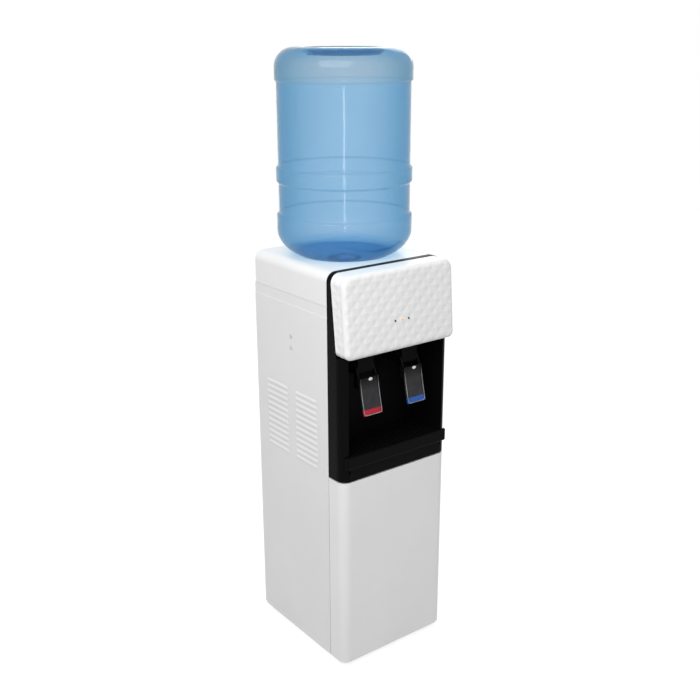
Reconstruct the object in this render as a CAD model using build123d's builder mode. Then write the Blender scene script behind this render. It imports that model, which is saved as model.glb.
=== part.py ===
from build123d import *
import os
from math import acos, asin, atan2, cos, degrees, sin, sqrt, tan

os.makedirs("parts", exist_ok=True)

# Floor-standing hot and cold water cooler with a bottle upside down on its top.
# Origin: centre of the footprint, on the floor. Front is -Y, up is +Z. Millimetres.

# ---------------------------------------------------------------- driving dimensions
cabinet_width = 276.0
cabinet_depth = 306.0        # door face to rear panel
cabinet_height = 856.0       # floor to the flat of the top
foot_height = 10.0
foot_radius = 12.0
foot_inset = 34.0            # foot centre from the cabinet's sides and back
foot_chamfer = 1.5
front_corner = 20.0          # plan rounding of door and fascia
top_corner = 20.0            # rounding of the long top edges
top_rear_round = 6.0
module_depth = 48.0          # door and fascia, from their face to the seam with the side panels
seam_gap = 1.5
sheet = 1.0                  # painted steel
rear_sheet = 1.2
shell_wall = 3.0             # moulded outer shells
liner_wall = 2.5
seat_gap = 0.3               # between pieces that sit on each other
skirt_gap = 0.5              # side and rear panels under the top cover
frame_setback = 1.0          # base and deck behind the seam
running_gap = 0.06           # radial, pin in its hole

base_height = 22.0
tongue_thickness = 2.0
tongue_setback = 2.0
door_clearance = 1.0         # above the base's tongue
door_top = 430.0
door_gap = 3.0               # dark line between door and fascia
door_panel_inset = 6.0       # door's inner panel below the rear edge of its shell
pivot_from_side = 8.0
pivot_from_front = 13.0
pivot_pin_radius = 3.0
pivot_press_gap = 0.02       # pin in the fascia's hole
pivot_boss_radius = 6.0
pivot_pin_grip = 9.0         # length of pin inside the door
skirt_height = 68.0          # side of the top cover
side_band = 22.0             # pressed band under the skirt
side_band_depth = 0.6
side_bottom_gap = 5.0        # side panels end above the base's underside
side_flange = 11.0

louvre_length = 74.0
louvre_pitch = 13.0
louvre_count = 12
louvre_height = 6.0
louvre_reach = 1.6
louvre_lip = 1.2
louvre_bottom = 436.0
louvre_front_column = 123.0  # column centres, back from the front face
louvre_rear_column = 229.0
side_screw_back = 173.5      # back from the front face
side_screw_low = 674.5
side_screw_spacing = 24.3
screw_head_radius = 4.3
screw_head_height = 1.4
screw_shank_radius = 1.6

fascia_rail = 14.0           # black rail under the tap recess
niche_side = 16.0            # cabinet's side to the tap recess
niche_depth = 98.0
panel_nose = 18.0            # indicator panel, ahead of the front face at its lower edge
panel_brow = 5.0             # the same at its upper edge
panel_bottom = 692.0
panel_rear_low = 18.5        # panel's rear edge behind the front face, at its lower end
panel_rear_high = 36.0       # the same at its upper end
panel_side_corner = 14.0     # lower corners, seen from the front
panel_edge = 10.0            # rounding of the face's edge
panel_wall = 2.5
panel_top_drop = 1.0         # panel's top under the cabinet's
lamp_spacing = 17.0
lamp_height = 753.0
lamp_radius = 2.0
lamp_proud = 0.8
board_length = 96.0
board_width = 34.0
board_thickness = 1.6
board_back = 9.0             # board behind the panel's face

tap_offset = 57.0            # tap centres from the middle
tap_body_width = 40.0
tap_body_front = 30.0        # back from the front face
tap_body_bottom = 640.0
tap_body_top = 690.0
tap_body_round = 5.0
spout_back = 54.0
spout_radius = 9.0
spout_bore = 5.0
spout_bottom = 604.0
lever_width = 45.6
lever_plate = 3.0
lever_top = 636.0
lever_bottom = 562.0
lever_tip_height = 11.0
lever_top_back = 20.6
lever_middle_back = 14.0
lever_bottom_back = 5.0
lever_rim = 1.4
lever_rim_width = 2.2
lever_arm = 2.4
lever_corner = 6.0           # paddle's lower corners, seen from the front
lever_pin_radius = 2.0
lever_pin_back = 40.0
lever_pin_height = 662.0
lever_arm_drop = 6.0         # arm's lower end under the paddle's top
pin_proud = 0.8              # pin ends, out of the lever's arms
chamber_half_width = 14.0    # valve chamber in the tap body
chamber_wall = 4.0

tray_side_gap = 3.0          # tray to the recess's side
tray_depth = 90.0            # tray's rear behind the front face
tray_wall = 2.2
tray_height = 33.0
tray_ledge = 2.5
tray_rest = 0.5              # tray above the recess's floor
grille_thickness = 4.0
grille_slot = 4.5
grille_slot_count = 21
nose_side = 6.0              # cabinet's side to the tray's nose
nose_reach = 6.0
nose_height = 26.0
nose_lift = 11.0             # nose's lower edge above the tray's underside
nose_round = 6.0
nose_edge = 3.0
nose_gap = 0.6               # between the tray's nose and the fascia
grille_frame = 10.0

bottle_back = 174.0          # bottle axis, back from the front face
bottle_sink = 80.0           # neck's end below the cabinet's top
bottle_wall = 1.6
bottle_body_radius = 133.0
bottle_ring_radius = 137.5
bottle_base_radius = 136.5
bottle_neck_radius = 27.5
bottle_neck_length = 66.0
neck_blend = 2.5             # rounding from the neck into the shoulder
shoulder_height = 64.0
low_ring_height = 35.5
waist_low = 58.2             # plain stretch between the low ring and the middle ring
middle_ring_height = 35.5
waist_high = 159.8
base_ring_height = 28.0
base_round = 38.0
ring_blend = 5.0
push_up = 14.0               # hollow of the bottle's base
cap_wall = 2.0
cap_height = 26.0
cap_hole = 15.0
cap_clearance = 0.1          # cap round the neck
bottle_clearance = 0.35      # shoulder above the collar's bowl
collar_wall = 2.6
collar_flange_width = 4.9    # flat ring outside the collar's bowl
collar_flange = 1.5
flange_recess = 1.0
flange_edge = (0.5, 1.5)     # bevel of the flange: height and width
collar_tube_radius = 37.0
collar_floor = 3.0
cap_floor_gap = 6.0
probe_radius = 7.5
probe_flange_radius = 14.0
probe_flange = 2.0
probe_rise = 62.0
probe_tip = 8.0
probe_bore = 5.0
probe_spigot = 28.0
probe_slot_width = 5.0
probe_slot_length = 14.0
probe_slot_rise = 6.0        # lower slot above the probe's flange
probe_slot_pitch = 20.0
plug_height = 9.0
plug_wall = 2.0
plug_cover = 3.0             # plug's top above the probe's tip
plug_clearance = 0.2

tank_wall = 1.2
cold_tank_radius = 54.0
cold_tank_height = 136.0
cold_foam = 13.6
lid_foam = 16.0
block_width = 40.0
module_thickness = 3.8
block_reach = 14.0
block_seat = 0.1
sink_width = 92.0
sink_base = 6.0
sink_fin = 1.6
sink_fin_count = 16
fan_width = 92.0
fan_depth = 25.0
fan_bore = 42.0
blade_tip = 40.2
blade_count = 7
fan_hub_radius = 17.0
fan_shaft_radius = 2.0
fan_strut = 3.0
fan_corner = 4.0
fan_gap = 0.1                # fan housing to the rear panel
blade_chord = 20.0
blade_thickness = 1.6
blade_pitch = 50.0
guard_wire = 1.6
guard_gap = 0.1
guard_margin = 2.0           # outer ring beyond the fan's bore
guard_bar_margin = 4.0       # bars' ends beyond the same
hot_tank_radius = 36.0
hot_tank_height = 120.0
hot_foam = 12.0
heater_thickness = 3.2
heater_height = 50.0
heater_lift = 6.0            # heater above the drain's hole
hose_radius = 5.0
hose_bore = 3.2
cold_pipe_x = 45.0
pipe_z = 655.0               # height at which both pipes reach the taps
hose_plug = 3.0              # how far a hose goes into what it feeds
hot_hose_out = 88.0          # how far the hot hose swings out from the middle
hot_hose_bend = 14.0
hose_drop = 17.0             # hot outlet under the tank's top
drain_radius = 6.0
drain_bore = 4.0
drain_rise = 14.0            # drain axis above the tank's underside
drain_thread = 10.0
cap_reach = 16.0             # drain cap, out of the rear panel
cap_radius = 9.5
cap_edge = 1.5
thread_gap = 1.3             # end of the drain's thread inside its cap
bracket_sheet = 1.5
bracket_width = 24.0
bracket_height = 52.0

deck_thickness = 2.0
storage_back = 250.0         # storage liner's rear, back from the front face
storage_inset = 10.0
storage_flange = 2.0
storage_front_gap = 3.0
gasket_width = 8.0
gasket_edge = 2.0
magnet_inset = 1.0
magnet_size = (40.0, 8.0)
catch_overhang = 4.0         # catch plate beyond the magnet's ends
rear_screw_inset = 6.0
rear_screw_margin = 30.0     # end screws from the panel's ends, and the middle one over the deck
guard_rings = 4
inlet_side = 46.0            # cabinet's side to the middle of the inlet and the switches
inlet_z = 520.0
inlet_width = 27.0
inlet_height = 20.0
inlet_depth = 18.0
inlet_recess = 14.0
inlet_wall = 2.0
inlet_flange = 3.0
pin_size = (2.0, 4.0, 9.0)
pin_spacing = 7.0
pin_drop = 1.5               # outer pins under the inlet's middle
pin_lift = 2.5               # middle pin above it
switch_z = 520.0
switch_spacing = 34.0
switch_width = 21.0
switch_height = 15.0
switch_bezel = 2.0
switch_depth = 12.0
rocker_side_gap = 0.3
rocker_half_height = 4.8
rocker_pin = 1.0
rocker_axis_depth = 0.5      # rocker's axis inside the rear face
rocker_wall = 1.0            # rocker's faces round its pins
switch_tilt = 8.0
supply_size = (62.0, 84.0, 46.0)
supply_corner = 2.0
supply_side_gap = 2.0

# ---------------------------------------------------------------- derived places
half_width = cabinet_width / 2
niche_half_width = half_width - niche_side
tray_half_width = niche_half_width - tray_side_gap
nose_half_width = half_width - nose_side
inlet_x = half_width - inlet_side
switch_x = inlet_side - half_width
front_y = -(cabinet_depth + panel_nose + cap_reach) / 2 + panel_nose
back_y = front_y + cabinet_depth
seam_y = front_y + module_depth
base_top = foot_height + base_height
door_bottom = foot_height + tongue_thickness + door_clearance
door_rear_y = seam_y - seam_gap
fascia_bottom = door_top + door_gap
side_bottom = foot_height + side_bottom_gap
skirt_bottom = cabinet_height - skirt_height
niche_bottom = fascia_bottom + fascia_rail
niche_floor = niche_bottom + liner_wall
niche_rear = front_y + niche_depth
rear_inner = back_y - rear_sheet
frame_front = seam_y + frame_setback
frame_rear = rear_inner - sheet - 2 * seat_gap
deck_top = door_top
pivot_x = half_width - pivot_from_side
pivot_y = front_y + pivot_from_front
bottle_y = front_y + bottle_back
bottle_axis = Axis((0, bottle_y, 0), (0, 0, 1))

neck_bottom = cabinet_height - bottle_sink
neck_top = neck_bottom + bottle_neck_length
shoulder_top = neck_top + shoulder_height
shoulder_foot = bottle_neck_radius + neck_blend    # radius where the shoulder turns into the neck

panel_top = cabinet_height - panel_top_drop
rear_screw_x = half_width - rear_screw_inset
rear_screw_levels = (side_bottom + rear_screw_margin, deck_top + rear_screw_margin,
                     skirt_bottom - rear_screw_margin)
collar_floor_top = neck_bottom - cap_wall - cap_floor_gap
collar_rim = cabinet_height + collar_flange - flange_recess
cold_tank_top = collar_floor_top - collar_floor - lid_foam - 2 * seat_gap
cold_tank_bottom = cold_tank_top - cold_tank_height
cold_middle = (cold_tank_top + cold_tank_bottom) / 2
cold_foam_radius = cold_tank_radius + seat_gap + cold_foam
hot_tank_bottom = deck_top + hot_foam + 2 * seat_gap
hot_tank_top = hot_tank_bottom + hot_tank_height
hot_foam_radius = hot_tank_radius + heater_thickness + 2 * seat_gap + hot_foam
tray_bottom = niche_floor + tray_rest
shoulder_reach = bottle_ring_radius - shoulder_foot
panel_tilt = atan2(panel_nose - panel_brow, panel_top - panel_bottom)


def panel_face_y(z):
    """Y of the indicator panel's flat face at a height."""
    return front_y - panel_nose + (z - panel_bottom) * tan(panel_tilt)


def panel_rear_y(z):
    """Y of the indicator panel's rear edge at a height."""
    lean = (panel_rear_high - panel_rear_low) / (panel_top - panel_bottom)
    return front_y + panel_rear_low + (z - panel_bottom) * lean


def slab(x, y, z, mode=Mode.ADD):
    """A block over three (low, high) spans, put into the part being built."""
    with Locations(((x[0] + x[1]) / 2, (y[0] + y[1]) / 2, (z[0] + z[1]) / 2)):
        Box(abs(x[1] - x[0]), abs(y[1] - y[0]), abs(z[1] - z[0]), mode=mode)


def rod(start, direction, radius, length, mode=Mode.ADD):
    """A cylinder from a point along a direction, put into the part being built."""
    with Locations(Plane(origin=start, z_dir=direction)):
        Cylinder(radius, length, align=(Align.CENTER, Align.CENTER, Align.MIN), mode=mode)


def sketch_corners(row):
    """Corners of the sketch being drawn: the lowest row is 0 and the highest is -1."""
    return vertices().group_by(Axis.Y)[row]


def front_plan(inset, rear):
    """Plan of a front module: square at the rear, rounded at the two front corners."""
    with Locations((0, (front_y + inset + rear) / 2)):
        Rectangle(2 * (half_width - inset), rear - front_y - inset)
    fillet(sketch_corners(0), front_corner - inset)


def outline(inset, low, high, low_corner=0.0):
    """Front view of the cabinet between two heights, with its top corners rounded."""
    with Locations((0, (low + high) / 2)):
        Rectangle(2 * (half_width - inset), high - low)
    fillet(sketch_corners(-1), top_corner - inset)
    if low_corner > 0:
        fillet(sketch_corners(0), low_corner)


def keep(name, builder):
    """Label a finished sub-part and write its file."""
    builder.part.label = name
    export_step(builder.part, f"parts/{name}.step")


# ---------------------------------------------------------------- base, deck, feet
with BuildPart() as base_pan:
    slab((-half_width + sheet + seat_gap, half_width - sheet - seat_gap),
         (frame_front, frame_rear), (foot_height, base_top))
    slab((-half_width + sheet + liner_wall, half_width - sheet - liner_wall),
         (frame_front + liner_wall, frame_rear - liner_wall),
         (foot_height + liner_wall, base_top), mode=Mode.SUBTRACT)
    with BuildSketch(Plane.XY.offset(foot_height)):
        front_plan(tongue_setback, frame_front + 1)
    extrude(amount=tongue_thickness)
    rod((pivot_x, pivot_y, foot_height), (0, 0, 1), pivot_pin_radius, tongue_thickness,
        mode=Mode.SUBTRACT)
keep("base_pan", base_pan)

with BuildPart() as feet:
    foot_x = half_width - foot_inset
    with Locations(*[(x, y, 0) for x in (-foot_x, foot_x)
                     for y in (front_y + foot_inset, back_y - foot_inset)]):
        Cylinder(foot_radius, foot_height, align=(Align.CENTER, Align.CENTER, Align.MIN))
    chamfer(feet.edges().group_by(Axis.Z)[0], foot_chamfer)
keep("feet", feet)

with BuildPart() as deck_plate:
    slab((-half_width + sheet + seat_gap, half_width - sheet - seat_gap),
         (frame_front, frame_rear), (deck_top - deck_thickness, deck_top))
keep("deck_plate", deck_plate)


# ---------------------------------------------------------------- side panels
def side_panel(name, side):
    """One steel side, folded in at the back, with louvres pressed out of it."""
    outer = side * half_width
    inner = side * (half_width - sheet)
    low = side_bottom
    high = skirt_bottom - skirt_gap
    with BuildPart() as panel:
        slab((inner, outer), (seam_y, back_y), (low, high))
        slab((inner, side * (half_width - side_flange)),
             (rear_inner - sheet - seat_gap, rear_inner - seat_gap), (low, high))
        slab((inner, side * (half_width - sheet - side_band_depth)),
             (seam_y, rear_inner - sheet - seat_gap), (high - side_band, high))
        slab((outer - side * side_band_depth, outer), (seam_y, back_y),
             (high - side_band, high), mode=Mode.SUBTRACT)
        for column in (louvre_front_column, louvre_rear_column):
            with BuildSketch(Plane.XZ.offset(-front_y - column + louvre_length / 2)):
                for row in range(louvre_count):
                    z = louvre_bottom + row * louvre_pitch
                    with BuildLine():
                        Polyline((inner, z), (outer + side * louvre_reach, z),
                                 (outer + side * louvre_reach, z + louvre_lip),
                                 (outer, z + louvre_height), (inner, z + louvre_height), (inner, z))
                    make_face()
            extrude(amount=-louvre_length)
        for column in (louvre_front_column, louvre_rear_column):
            middle = front_y + column
            for row in range(louvre_count):
                z = louvre_bottom + row * louvre_pitch
                slab((inner - side, outer + side * (louvre_reach - sheet)),
                     (middle - louvre_length / 2 + sheet, middle + louvre_length / 2 - sheet),
                     (z - sheet, z + louvre_lip), mode=Mode.SUBTRACT)
        for hole in range(2):
            rod((inner - side, front_y + side_screw_back, side_screw_low + hole * side_screw_spacing),
                (side, 0, 0), screw_shank_radius + seat_gap, 3 * sheet, mode=Mode.SUBTRACT)
        for z in rear_screw_levels:
            rod((side * rear_screw_x, rear_inner - 3 * sheet, z), (0, 1, 0),
                screw_shank_radius + seat_gap, 3 * sheet, mode=Mode.SUBTRACT)
    keep(name, panel)


side_panel("side_panel_left", -1)
side_panel("side_panel_right", 1)


# ---------------------------------------------------------------- rear panel and its screws
with BuildPart() as rear_panel:
    slab((-half_width + sheet + seat_gap, half_width - sheet - seat_gap),
         (rear_inner, back_y), (side_bottom, skirt_bottom - skirt_gap))
    rod((0, rear_inner - 1, cold_middle), (0, 1, 0), fan_bore - 1, 4, mode=Mode.SUBTRACT)
    rod((0, rear_inner - 1, hot_tank_bottom + drain_rise), (0, 1, 0), drain_radius + seat_gap, 4,
        mode=Mode.SUBTRACT)
    slab((inlet_x - inlet_width / 2 - seat_gap, inlet_x + inlet_width / 2 + seat_gap),
         (rear_inner - 1, back_y + 1),
         (inlet_z - inlet_height / 2 - seat_gap, inlet_z + inlet_height / 2 + seat_gap),
         mode=Mode.SUBTRACT)
    for side in (-1, 1):
        z = switch_z + side * switch_spacing / 2
        slab((switch_x - switch_width / 2 - seat_gap, switch_x + switch_width / 2 + seat_gap),
             (rear_inner - 1, back_y + 1),
             (z - switch_height / 2 - seat_gap, z + switch_height / 2 + seat_gap),
             mode=Mode.SUBTRACT)
        for level in rear_screw_levels:
            rod((side * rear_screw_x, rear_inner - 1, level), (0, 1, 0),
                screw_shank_radius + seat_gap, 4, mode=Mode.SUBTRACT)
keep("rear_panel", rear_panel)

with BuildPart() as rear_screws:
    for side in (-1, 1):
        for level in rear_screw_levels:
            rod((side * rear_screw_x, back_y, level), (0, 1, 0), screw_head_radius, screw_head_height)
            rod((side * rear_screw_x, back_y, level), (0, -1, 0), screw_shank_radius, 3 * sheet)
keep("rear_screws", rear_screws)

with BuildPart() as side_screws:
    for side in (-1, 1):
        for hole in range(2):
            start = (side * half_width, front_y + side_screw_back,
                     side_screw_low + hole * side_screw_spacing)
            rod(start, (side, 0, 0), screw_head_radius, screw_head_height)
            rod(start, (-side, 0, 0), screw_shank_radius, 3 * sheet)
keep("side_screws", side_screws)

with BuildPart() as fan_guard:
    with BuildSketch(Plane.XZ.offset(-back_y - guard_gap)):
        with Locations((0, cold_middle)):
            for ring in range(guard_rings, 0, -1):
                radius = ring * (fan_bore + guard_margin) / guard_rings
                Circle(radius + guard_wire / 2)
                Circle(radius - guard_wire / 2, mode=Mode.SUBTRACT)
            for turn in (45, 135):
                Rectangle(2 * (fan_bore + guard_bar_margin), guard_wire, rotation=turn)
    extrude(amount=-guard_wire)
keep("fan_guard", fan_guard)


# ---------------------------------------------------------------- top cover, collar, probe
def shoulder_angle_at_height(z, offset):
    """Angle on the shoulder's ellipse, enlarged by an offset, at a height."""
    return -degrees(asin((shoulder_top - z) / (shoulder_height + offset)))


def shoulder_angle_at_radius(radius, offset):
    """Angle on the shoulder's ellipse, enlarged by an offset, at a radius."""
    return -degrees(acos((radius - shoulder_foot) / (shoulder_reach + offset)))


def shoulder_arc(offset, start, end):
    """Part of the bottle shoulder's ellipse, enlarged by an offset, between two angles."""
    return EllipticalCenterArc((shoulder_foot, shoulder_top), shoulder_reach + offset,
                               shoulder_height + offset, start, arc_size=end - start)


bowl_offset = bottle_clearance + collar_wall
bowl_rim_angle = shoulder_angle_at_height(cabinet_height - flange_recess, bowl_offset)
bowl_rim_radius = shoulder_foot + (shoulder_reach + bowl_offset) * sqrt(
    1 - ((shoulder_top - cabinet_height + flange_recess) / (shoulder_height + bowl_offset)) ** 2)
collar_flange_radius = bowl_rim_radius + collar_flange_width

with BuildPart() as top_cover:
    with BuildSketch(Plane.XZ.offset(-seam_y - seat_gap)):
        outline(0, skirt_bottom, cabinet_height)
    extrude(amount=-(back_y - seam_y - seat_gap))
    fillet(top_cover.edges().group_by(Axis.Y)[-1].filter_by(lambda e: e.center().Z > skirt_bottom + 1),
           top_rear_round)
    with BuildSketch(Plane.XZ.offset(-seam_y + 1)):
        outline(liner_wall, skirt_bottom - 10, cabinet_height - liner_wall)
    extrude(amount=-(back_y - seam_y + 1 - liner_wall), mode=Mode.SUBTRACT)
    rod((0, bottle_y, skirt_bottom), (0, 0, 1), bowl_rim_radius + seat_gap, skirt_height + 5,
        mode=Mode.SUBTRACT)
    rod((0, bottle_y, cabinet_height - flange_recess), (0, 0, 1), collar_flange_radius + seat_gap, 10,
        mode=Mode.SUBTRACT)
keep("top_cover", top_cover)

with BuildPart() as bottle_collar:
    with BuildSketch(Plane.XZ.offset(-bottle_y)):
        with BuildLine():
            bowl = shoulder_arc(bottle_clearance, shoulder_angle_at_radius(collar_tube_radius,
                                                                           bottle_clearance),
                                shoulder_angle_at_height(collar_rim, bottle_clearance))
            under = shoulder_arc(bowl_offset, shoulder_angle_at_radius(
                collar_tube_radius + collar_wall, bowl_offset), bowl_rim_angle)
            Polyline(bowl @ 0, (collar_tube_radius, collar_floor_top),
                     (probe_radius + seat_gap, collar_floor_top),
                     (probe_radius + seat_gap, collar_floor_top - collar_floor),
                     (collar_tube_radius + collar_wall, collar_floor_top - collar_floor), under @ 0)
            Polyline(under @ 1, (collar_flange_radius, cabinet_height - flange_recess),
                     (collar_flange_radius, collar_rim - flange_edge[0]),
                     (collar_flange_radius - flange_edge[1], collar_rim), bowl @ 1)
        make_face()
    revolve(axis=bottle_axis)
keep("bottle_collar", bottle_collar)

with BuildPart() as bottle_probe:
    rod((0, bottle_y, collar_floor_top - probe_spigot), (0, 0, 1), probe_radius,
        probe_spigot + probe_rise)
    rod((0, bottle_y, collar_floor_top), (0, 0, 1), probe_flange_radius, probe_flange)
    with Locations((0, bottle_y, collar_floor_top + probe_rise)):
        Cone(probe_radius, probe_radius / 3, probe_tip, align=(Align.CENTER, Align.CENTER, Align.MIN))
    rod((0, bottle_y, collar_floor_top - probe_spigot), (0, 0, 1), probe_bore,
        probe_spigot + probe_rise - liner_wall, mode=Mode.SUBTRACT)
    for row in range(2):
        slot_low = collar_floor_top + probe_flange + probe_slot_rise + row * probe_slot_pitch
        slab((-probe_radius - 1, probe_radius + 1),
             (bottle_y - probe_slot_width / 2, bottle_y + probe_slot_width / 2),
             (slot_low, slot_low + probe_slot_length),
             mode=Mode.SUBTRACT)
keep("bottle_probe", bottle_probe)

with BuildPart() as cap_plug:
    plug_base = collar_floor_top + probe_rise + probe_tip - plug_height + plug_cover
    rod((0, bottle_y, plug_base), (0, 0, 1), probe_radius + plug_wall, plug_height)
    with Locations((0, bottle_y, collar_floor_top + probe_rise + seat_gap)):
        Cone(probe_radius + plug_clearance, probe_radius / 3 + plug_clearance, probe_tip,
             align=(Align.CENTER, Align.CENTER, Align.MIN), mode=Mode.SUBTRACT)
keep("cap_plug", cap_plug)


# ---------------------------------------------------------------- bottle and its cap
def bottle_outline(inset, mouth):
    """Half section of the bottle, drawn inwards by an inset, closed along the axis."""
    level = shoulder_top
    steps = []
    for height, low, high in ((low_ring_height, bottle_ring_radius, bottle_body_radius),
                              (waist_low, bottle_body_radius, bottle_ring_radius),
                              (middle_ring_height, bottle_ring_radius, bottle_body_radius),
                              (waist_high, bottle_body_radius, bottle_base_radius)):
        level += height
        before = level - ring_blend if low > high else level
        after = level if low > high else level + ring_blend
        steps += [(low - inset, before), (high - inset, after)]
    level += base_ring_height
    neck = bottle_neck_radius - inset
    with BuildLine() as half:
        shoulder = shoulder_arc(-inset, -90, 0)
        Polyline((0, mouth), (neck, mouth), (neck, neck_top - neck_blend), shoulder @ 0)
        side = Polyline(shoulder @ 1, *steps, (bottle_base_radius - inset, level))
        rounding = JernArc(side @ 1, (0, 1), base_round - inset, 90)
        rim = rounding @ 1
        Polyline(rim, (rim.X - push_up, rim.Y), (rim.X - 2 * push_up, rim.Y - push_up),
                 (0, rim.Y - push_up), (0, mouth))
    make_face(half.edges())


with BuildPart() as bottle:
    with BuildSketch(Plane.XZ.offset(-bottle_y)):
        bottle_outline(0, neck_bottom)
    revolve(axis=bottle_axis)
    with BuildSketch(Plane.XZ.offset(-bottle_y)):
        bottle_outline(bottle_wall, neck_bottom - 1)
    revolve(axis=bottle_axis, mode=Mode.SUBTRACT)
keep("bottle", bottle)

with BuildPart() as bottle_cap:
    cap_bottom = neck_bottom - cap_wall
    rod((0, bottle_y, cap_bottom), (0, 0, 1), bottle_neck_radius + cap_clearance + cap_wall,
        cap_height)
    rod((0, bottle_y, neck_bottom - cap_clearance), (0, 0, 1), bottle_neck_radius + cap_clearance,
        cap_height,
        mode=Mode.SUBTRACT)
    rod((0, bottle_y, cap_bottom - 1), (0, 0, 1), cap_hole, cap_wall + 2, mode=Mode.SUBTRACT)
keep("bottle_cap", bottle_cap)

# ---------------------------------------------------------------- fascia and indicator panel


def leaning_band(front, rear, low, high):
    """Side profile from an offset behind the panel's face to one behind its rear."""
    with BuildLine() as band:
        Polyline((panel_face_y(low) + front, low), (panel_face_y(high) + front, high),
                 (panel_rear_y(high) + rear, high), (panel_rear_y(low) + rear, low),
                 (panel_face_y(low) + front, low))
    make_face(band.edges())


with BuildPart() as panel_space:
    with BuildSketch(Plane.YZ):
        leaning_band(-2 * panel_nose, 0, panel_bottom - seat_gap, cabinet_height + 5)
    extrude(amount=half_width + 5, both=True)

with BuildPart() as bulkhead_space:
    with BuildSketch(Plane.YZ):
        leaning_band(-2 * panel_nose, shell_wall, panel_bottom - seat_gap - shell_wall,
                     cabinet_height + 5)
    extrude(amount=half_width + 5, both=True)

with BuildPart() as fascia_hollow:
    with BuildSketch(Plane.XZ.offset(-front_y)):
        outline(shell_wall, panel_bottom - shell_wall, cabinet_height - shell_wall)
    extrude(amount=-(module_depth + 5))
    add(bulkhead_space.part, mode=Mode.SUBTRACT)

with BuildPart() as fascia_frame:
    with BuildSketch(Plane.XY.offset(fascia_bottom)):
        front_plan(0, seam_y - seat_gap)
    extrude(amount=cabinet_height - fascia_bottom)
    with BuildSketch(Plane.XZ.offset(-front_y + 5)):
        outline(0, fascia_bottom, cabinet_height)
    extrude(amount=-(module_depth + 10), mode=Mode.INTERSECT)
    with BuildSketch(Plane.XY.offset(fascia_bottom + shell_wall)):
        front_plan(shell_wall, seam_y + 5)
    extrude(amount=panel_bottom - fascia_bottom - 2 * shell_wall - seat_gap, mode=Mode.SUBTRACT)
    add(fascia_hollow.part, mode=Mode.SUBTRACT)
    add(panel_space.part, mode=Mode.SUBTRACT)
    slab((-niche_half_width, niche_half_width), (front_y - 1, front_y + shell_wall + 1),
         (niche_floor, panel_bottom + liner_wall + seat_gap), mode=Mode.SUBTRACT)
    slab((-niche_half_width - liner_wall - seat_gap, niche_half_width + liner_wall + seat_gap),
         (front_y + shell_wall, seam_y + 5),
         (niche_bottom - seat_gap, panel_bottom + liner_wall + seat_gap), mode=Mode.SUBTRACT)
    rod((pivot_x, pivot_y, fascia_bottom - 1), (0, 0, 1), pivot_pin_radius + pivot_press_gap, 2 * shell_wall,
        mode=Mode.SUBTRACT)
keep("fascia_frame", fascia_frame)

with BuildPart() as niche_liner:
    slab((-niche_half_width - liner_wall, niche_half_width + liner_wall),
         (front_y + shell_wall + seat_gap, niche_rear), (niche_bottom, panel_bottom + liner_wall))
    slab((-niche_half_width, niche_half_width), (front_y, niche_rear - liner_wall),
         (niche_floor, panel_bottom), mode=Mode.SUBTRACT)
    add(panel_space.part, mode=Mode.SUBTRACT)
    for pipe_x in (-tap_offset, cold_pipe_x):
        rod((pipe_x, niche_rear - 2 * liner_wall, pipe_z), (0, 1, 0), hose_radius + 1, 4 * liner_wall,
            mode=Mode.SUBTRACT)
keep("niche_liner", niche_liner)


def panel_block(inset):
    """The indicator panel's rounded form, drawn inwards by an inset."""
    with BuildPart() as block:
        with BuildSketch(Plane.YZ):
            leaning_band(inset, 0, panel_bottom - 5, panel_top + 5)
        extrude(amount=half_width + 5, both=True)
        with BuildSketch(Plane.XZ.offset(-front_y + 2 * panel_nose)):
            outline(inset, panel_bottom + inset, panel_top - inset, panel_side_corner - inset)
        extrude(amount=-2 * module_depth, mode=Mode.INTERSECT)
        fillet(block.faces().sort_by(Axis.Y)[0].edges(), panel_edge - inset)
    return block.part


face_plane = Plane(origin=(0, panel_face_y(lamp_height), lamp_height), x_dir=(1, 0, 0),
                   z_dir=(0, -cos(panel_tilt), sin(panel_tilt)))
board_plane = face_plane.offset(-board_back)
panel_shell = panel_block(0.0)
panel_core = panel_block(panel_wall)

with BuildPart() as indicator_panel:
    add(panel_shell)
    add(panel_core, mode=Mode.SUBTRACT)
    with Locations(board_plane):
        with GridLocations(lamp_spacing, 0, 3, 1):
            Cylinder(lamp_radius + seat_gap, board_back + 1,
                     align=(Align.CENTER, Align.CENTER, Align.MIN), mode=Mode.SUBTRACT)
keep("indicator_panel", indicator_panel)

with BuildPart() as indicator_board:
    with Locations(board_plane):
        Box(board_length, board_width, board_thickness, align=(Align.CENTER, Align.CENTER, Align.MAX))
keep("indicator_board", indicator_board)


def lamp(name, column):
    """A lamp from the board to just proud of the panel's face, with a domed end."""
    with BuildPart() as body:
        with Locations(board_plane):
            with Locations((column * lamp_spacing, 0, 0)):
                Cylinder(lamp_radius, board_back + lamp_proud,
                         align=(Align.CENTER, Align.CENTER, Align.MIN))
        fillet(body.faces().sort_by(Axis.Y)[0].edges(), lamp_proud)
    keep(name, body)


lamp("lamp_heating", -1)
lamp("lamp_power", 0)
lamp("lamp_cooling", 1)


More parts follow.
